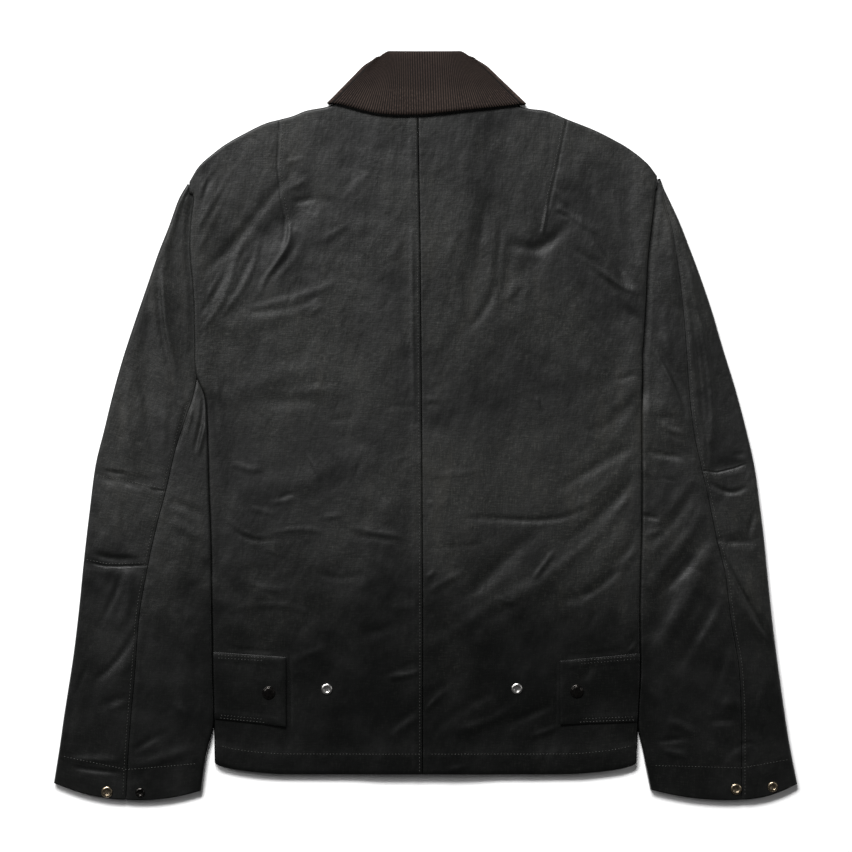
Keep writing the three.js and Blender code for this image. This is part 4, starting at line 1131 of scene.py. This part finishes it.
def collar_fall():
    """Points and cut of the fall with both wings, and how high each point is on its wale."""
    wales = round(2 * COLLAR_HALF / WALE_PITCH)
    shares = np.linspace(-1, 1, LINES_A_WALE * wales + 1)
    curled = fading(np.abs(shares), 0.9, 1)[:, None]
    at = lines_between(*collar_line(shares, COLLAR_FOLD), FALL_SHARES)
    curl = FALL_CURLS[None, :] + 0 * shares[:, None]
    phase = 0.5 - 0.5 * np.cos(2 * np.pi * wales * (shares + 1) / 2)
    rib = (phase ** 0.6)[:, None] * (1 - 0.35 * curl)
    base = collar_height(at[..., 0], at[..., 1])
    band = COLLAR_BAND * smoothstep(FALL_SHARES[None, :], 0.42, 0.5) * curled
    swell = COLLAR_WAVE * waves(at[..., 0], at[..., 1], 44, 8)
    drop = curled * np.where(curl < 1, curl * ROLL_DROP, ROLL_END_DROP)
    drawn_in = mix(SIDE_DRAW * (1 - curl), MIDDLE_DRAW * (1 - curl), curled)
    at[..., 1] -= np.where(curl > 0, drawn_in, 0)
    z = base - drop + WALE_RISE * rib + band + swell * (1 - curl)
    (left, left_z), (right, right_z) = (collar_side(end) for end in (-1, 1))
    flat = np.concatenate([left[::-1], at, right])
    z = np.concatenate([left_z[::-1], z, right_z])
    ribs_out = side_rib(np.arange(len(right)))[:, None] * np.ones(len(FALL_SHARES))
    along = np.linalg.norm(np.diff(flat, axis=1).mean(axis=0), axis=-1)
    along = np.concatenate([[0], np.cumsum(along)])
    across = np.arange(len(flat)) * WALE_PITCH / LINES_A_WALE
    cut = np.stack(np.broadcast_arrays(across[:, None], along[None, :]), -1)
    return raised(flat, z), cut, np.concatenate([ribs_out[::-1], rib, ribs_out])


def collar_side(end):
    """The fall over its slanted side and under the front, as lines from the side inwards."""
    free, roll = (point[0] for point in collar_line(np.array([float(end)]), COLLAR_FOLD))
    outwards, along = np.array([end * -SLANT.y, SLANT.x]), np.array([end * SLANT.x, SLANT.y])
    at = lines_between(free, roll, FALL_SHARES)
    at_free = (1 - FALL_SHARES) ** 4
    tapered = 1 - ROLL_TAPER * smoothstep(FALL_SHARES, 0.7, 1) - CURL_TAPER * FALL_CURLS
    lines, heights = [], []
    for angle in np.radians(np.arange(67.5, -91, -22.5)):
        side = max(math.cos(angle), 0) ** FOLD_SQUARENESS
        level = math.copysign(abs(math.sin(angle)) ** FOLD_SQUARENESS, angle)
        rib = WALE_RISE * side_rib(len(lines)) * (angle > 0)
        rise = collar_height(at[:, 0], at[:, 1]) / 2 * (1 + level) + rib
        reach = COLLAR_FOLD * side * at_free
        spread = COLLAR_FOLD * side * tapered
        lines.append(at + outwards * spread[:, None] + along * reach[:, None])
        heights.append(rise + (SIDE_CURL * FALL_CURLS if angle < -1.5 else 0))
    for (roll_x, roll_y), (free_x, free_y) in WING:
        wing_free, wing_roll = np.array([end * free_x, free_y]), np.array([end * roll_x, roll_y])
        lines.append(lines_between(wing_free, wing_roll, FALL_SHARES))
        heights.append(SIDE_CURL * FALL_CURLS)
    lines = np.array(lines)
    inwards = unit(lines[:, -1] - lines[:, 0])
    drawn_in = SIDE_DRAW * (1 - FALL_CURLS) * (FALL_CURLS > 0)
    return lines - inwards[:, None, :] * drawn_in[None, :, None], np.array(heights)


def undercollar():
    free, roll = collar_line(np.linspace(-1, 1, 120), COLLAR_FOLD + UNDERCOLLAR_INSET)
    at = lines_between(free, roll, np.linspace(-0.03, 0.88, 24))
    return raised(at, back_base(at[..., 0], at[..., 1]) + COLLAR_REST + UNDERCOLLAR_CLOTH), at


def collar_stand():
    """The stand goes round the neck inside the roll and down both fronts."""
    share = np.linspace(0, 1, 9)
    inset = COLLAR_FOLD + STAND_INSET
    parts = []
    for end in (-1, 1):
        roll = collar_line(np.array([float(end)]), inset)[1][0] + np.array([-end, -STAND_DROP])
        at = lines_between(np.array([end * STAND_HALF, 346.5]), roll, share)
        outwards = np.array([end * -SLANT.y, SLANT.x])
        height = back_base(at[:, 0], at[:, 1]) - WING_LIFT
        lines = []
        for angle in np.radians(np.arange(67.5, -91, -22.5)):
            moved = at + outwards * STAND_SWELL * math.cos(angle)
            lines.append(raised(moved, WING_LIFT + height / 2 * (1 + math.sin(angle))))
        for out, top in ((58, 372), (38, 345), (22, 318), (12, 308)):
            neck_y = neck_line(out) + STAND_SEAT
            low = np.array([end * out, neck_y])
            high = np.array([end * min(out, 40), max(top - 4, neck_y + 4)])
            lines.append(raised(lines_between(low, high, share), np.full(len(share), WING_LIFT)))
        parts.append(np.array(lines[::end]))
    shares = np.linspace(-1, 1, 60)
    roll = collar_line(shares, inset)[1] + np.array([0, -STAND_DROP])
    neck_x = STAND_HALF * shares
    out = np.abs(neck_x)
    neck_y = np.where(neck_x < 0, top_edge("left", out), top_edge("right", out)) + STAND_SEAT
    at = lines_between(np.stack([neck_x, neck_y], -1), roll, share)
    points = np.concatenate([parts[0], raised(at, back_base(at[..., 0], at[..., 1])), parts[1]])
    return points, points[..., :2]


# Side tabs

# Rows close to a cut edge keep its shading narrow
CLOSE_TO_EDGE = np.array([0, 0.003, 0.009])
TAB_ROUNDING = 0.2
TAB_PRESS = 0.22


def tab(side):
    sign = sign_of(side)
    size = TABS[side]
    over = np.concatenate([CLOSE_TO_EDGE, np.linspace(0.03, 1, 40)])
    share = np.concatenate([over, [1, 1]])[None, :]
    angle = np.radians(np.concatenate([0 * over, [15, 30]]))[None, :]
    rows = [CLOSE_TO_EDGE, np.linspace(0.03, 0.97, 36), 1 - CLOSE_TO_EDGE[::-1]]
    v = np.concatenate(rows)[:, None]
    bottom = mix(size["bottomIn"], size["bottomOut"], share)
    top = mix(size["topIn"], size["topOut"], share)
    y = mix(bottom, top, v)
    edge = edge_out(side, y)
    bent = edge - FOLD_RADIUS * (1 - np.sin(angle))
    out = np.where(angle > 0, bent, mix(size["free"], edge - FOLD_RADIUS, share))
    standing = TAB_STANDING[side] * fading(out - size["free"], 0, 26)
    away = GAP + TAB_CLOTH + standing * mix(1, 0.6, v)
    fall = (1 - np.cos(angle)) * FOLD_RADIUS
    rim = np.minimum(np.minimum(y - bottom, top - y), out - size["free"])
    pressed = TAB_PRESS * (smoothstep(rim, 1, 3) - smoothstep(rim, 7, 10))
    z = back_height(sign * out, y) - fall + np.cos(angle) * away
    z = z - TAB_ROUNDING * fading(rim, 0, 1) + pressed
    x = sign * (out + np.sin(angle) * away)
    return np.stack([x, y, z], -1), np.stack([np.abs(x), y], -1)


# Snaps, turned about their own axis

CAP = [
    (0, 1.0), (0.35, 0.985), (0.62, 0.9), (0.74, 0.76), (0.78, 0.68), (0.86, 0.72), (0.94, 0.66),
    (1.0, 0.42), (0.98, 0.0), (0, 0),
]
RING = [
    (0, 0.28), (0.42, 0.28), (0.5, 0.42), (0.55, 0.82), (0.66, 1.0), (0.78, 0.92), (0.9, 0.66),
    (1.0, 0.38), (0.98, 0.0), (0, 0),
]
SNAP_STEPS = 40
SNAPS = [
    ("tab_snap_left", CAP, GUNMETAL), ("tab_snap_right", CAP, GUNMETAL),
    ("back_stud_left", RING, NICKEL), ("back_stud_right", RING, NICKEL),
    ("cuff_left_snap_outer", RING, BRASS), ("cuff_left_snap_inner", RING, GUNMETAL),
    ("cuff_right_snap_inner", RING, BRASS), ("cuff_right_snap_outer", RING, BRASS),
]


def snap(name, profile, finish):
    """A snap turned about its axis, in the place and size of its node."""
    low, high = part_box(name)
    radius = (high[0] - low[0]) / 2
    middle = Vector(((low[0] + high[0]) / 2, (low[1] + high[1]) / 2, low[2]))
    bm = bmesh.new()
    verts = [bm.verts.new((r * radius, 0, z * (high[2] - low[2]))) for r, z in profile]
    edges = [bm.edges.new(pair) for pair in zip(verts, verts[1:])]
    bmesh.ops.spin(bm, geom=[*verts, *edges], cent=(0, 0, 0), axis=(0, 0, 1), angle=2 * math.pi,
                   steps=SNAP_STEPS, use_merge=True)
    bmesh.ops.remove_doubles(bm, verts=bm.verts, dist=1e-6)
    bmesh.ops.recalc_face_normals(bm, faces=bm.faces)
    bmesh.ops.translate(bm, verts=bm.verts, vec=middle)
    dress(object_from(name + "_turned", bm, finish), name)


# Stitching

def stitched(path, offset, start, stop):
    """Places and directions of the stitches along a line, moved to its left by the offset."""
    points = np.array(path, float)
    runs = np.diff(points, axis=0)
    lengths = np.linalg.norm(runs, axis=-1)
    reach = np.concatenate([[0], np.cumsum(lengths)])
    at = np.arange(start, reach[-1] - stop, STITCH_PITCH)
    i = np.clip(np.searchsorted(reach, at, side="right") - 1, 0, len(lengths) - 1)
    heading = np.arctan2(runs[i, 1], runs[i, 0])
    place = points[i] + runs[i] * ((at - reach[i]) / lengths[i])[:, None]
    place += offset * np.stack([-np.sin(heading), np.cos(heading)], -1)
    return place, heading


def stitches(name, lines, height):
    """All stitches of a panel as one mesh of short threads lying on the cloth."""
    bm = bmesh.new()
    thickness = Matrix.Diagonal((*(size * MM for size in STITCH_SIZE), 1))
    for line in lines:
        place, heading = stitched(*line)
        x, y = place.T
        step_x, step_y = np.cos(heading), np.sin(heading)
        slope = (height(x + step_x, y + step_y) - height(x - step_x, y - step_y)) / 2
        z = height(x, y) + STITCH_LIFT
        for px, py, pz, turn, tilt in zip(x, y, z, heading, np.arctan(slope)):
            turned = Matrix.Rotation(turn, 4, "Z") @ Matrix.Rotation(-tilt, 4, "Y")
            matrix = Matrix.Translation(Vector((px, py, pz)) * MM) @ turned @ thickness
            bmesh.ops.create_icosphere(bm, subdivisions=1, radius=0.5, matrix=matrix)
    object_from(name, bm, THREAD)


def centre_line(offset):
    heights = np.linspace(-360, 322, 40)
    return np.stack([centre_back(heights) + offset, heights], -1)


def hem_line(side, rise):
    outs = np.linspace(6, 214, 30)
    return np.stack([sign_of(side) * outs, hem_edge(outs) + rise], -1)


def seam_line(side, first, last):
    return sleeve_sections(side, np.linspace(first, last, 60))["seam"]


def cuff_line(side, rise):
    section = sleeve_sections(side, np.array([rise / 42]))
    outer, seam, inner = (section[name][0] for name in ("outer", "seam", "inner"))
    top = [mix(outer, seam, share) for share in np.linspace(0.06, 1, 8)]
    return top + [mix(seam, inner, share) for share in np.linspace(0.02, 0.95, 8)]


def tab_line(side, inset):
    size = TABS[side]
    outs = (edge_out(side, -240.0) - 6, size["free"] + inset)
    line = []
    for edge, order, inwards in (("top", outs, -inset), ("bottom", outs[::-1], inset)):
        for out in order:
            y = mix(size[edge + "In"], size[edge + "Out"], (out - size["free"]) / 80)
            line.append((sign_of(side) * out, y + inwards))
    return line


def tab_height(x, y):
    return back_height(x, y) + GAP + TAB_CLOTH


def dart_lines(panel, offset, start, stop):
    return [(path, offset * pressed, start, stop) for pressed, *_, path in DARTS[panel]]


def sew():
    """Double and single rows of stitching on the backs, the sleeves and the side tabs."""
    for side in SIDES:
        sign = sign_of(side)
        lines = [(hem_line(side, HEM_STITCHES), 0, 1, 1)]
        lines += dart_lines("back_" + side, DART_STITCHES, 5, 12)
        if side == "left":
            lines.append((centre_line(CENTRE_STITCHES), 0, 2, 2))
        stitches(f"back_{side}_stitching", lines, back_height)
        lines = [
            (cuff_line(side, CUFF_STITCHES), 0, 3, 4),
            (seam_line(side, 0.1, SEAM_END[side] - 0.4), -sign * HIND_SEAM_STITCHES, 2, 2),
            *dart_lines("sleeve_" + side, ELBOW_STITCHES, 3, 3),
        ]
        stitches(f"sleeve_{side}_stitching", lines, lambda x, y: sleeve_height(side, x, y))
        lines = [(tab_line(side, inset), 0, 1, 1) for inset in TAB_STITCHES]
        stitches(f"side_tab_{side}_stitching", lines, tab_height)


# Making

def make_cloth():
    for side in SIDES:
        sign = sign_of(side)
        piece = cloth_piece(f"back_{side}", back_panel(side), sign, CLOTH, WAXED)
        piece = cloth_piece(f"front_{side}", front_panel(side), -sign, CLOTH, WAXED)
        piece = cloth_piece(f"sleeve_{side}_top", sleeve_top(side), sign, CLOTH, WAXED)
        piece = cloth_piece(f"sleeve_{side}_under", sleeve_under(side), -sign, CLOTH, WAXED)
        piece = cloth_piece(f"side_tab_{side}", tab(side), sign, TAB_CLOTH, WAXED)


def make_collar():
    *made, ribs = collar_fall()
    piece = cloth_piece("collar_fall", made, -1, CORDUROY, CORD, "cord")
    # The wale attribute also sets the corduroy's painted trough shade; the wales curled over the
    # roll take more of it.
    wale = piece.data.attributes.new("wale", "FLOAT", "POINT")
    wale.data.foreach_set("value", ribs.reshape(-1).astype(np.float32))
    piece = cloth_piece("undercollar", undercollar(), -1, UNDERCOLLAR_CLOTH, WAXED)
    piece = cloth_piece("collar_stand", collar_stand(), -1, CLOTH, WAXED)


def make_snaps():
    for row in SNAPS:
        snap(*row)
    for name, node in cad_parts.items():
        if name.startswith("front_snap_"):
            for slot in node.material_slots:
                slot.material = GUNMETAL.material


# Studio

CAMERA_HEIGHT = 2.5
FRAME_WIDTH = 0.8861
VIEW_CENTRE = (0.0004, -0.0005)
SENSOR = 36
FLOOR_HALF = 6
FLOOR_DROP = 0.0003
ROOM_LIGHT = 0.06


def studio():
    camera = bpy.data.cameras.new("camera")
    camera.sensor_width = SENSOR
    camera.lens = SENSOR * CAMERA_HEIGHT / FRAME_WIDTH
    seen = linked("camera", camera)
    seen.location = (*VIEW_CENTRE, CAMERA_HEIGHT)
    bpy.context.scene.camera = seen
    paper = Finish(
        "white_paper", Base_Color=(0.93, 0.93, 0.93, 1), Roughness=0.9, Specular_IOR_Level=0.1)
    bm = bmesh.new()
    bmesh.ops.create_grid(bm, x_segments=1, y_segments=1, size=FLOOR_HALF)
    bmesh.ops.translate(bm, verts=bm.verts, vec=(0, 0, -FLOOR_DROP))
    placed("floor", bm, paper)
    world = bpy.data.worlds.new("studio")
    world.use_nodes = True
    background = world.node_tree.nodes["Background"]
    background.inputs["Color"].default_value = (1, 1, 1, 1)
    background.inputs["Strength"].default_value = ROOM_LIGHT
    bpy.context.scene.world = world
    softbox("head_light", (-0.9, 2.8, 2.8), 2.4, 1.1, 310)
    softbox("left_light", (-1.5, 0.6, 1.4), 0.8, 1.2, 12)
    softbox("right_light", (2.0, 0.3, 1.5), 1.0, 1.6, 6)
    bpy.context.scene.view_settings.view_transform = "Standard"


def softbox(name, place, width, height, power):
    """A soft light that is aimed at the middle of the jacket."""
    light = bpy.data.lights.new(name, "AREA")
    light.shape = "RECTANGLE"
    light.size = width
    light.size_y = height
    light.energy = power
    lamp = linked(name, light)
    lamp.location = place
    lamp.rotation_euler = (-Vector(place)).to_track_quat("-Z", "Y").to_euler()


studio()
make_cloth()
make_collar()
make_snaps()
sew()
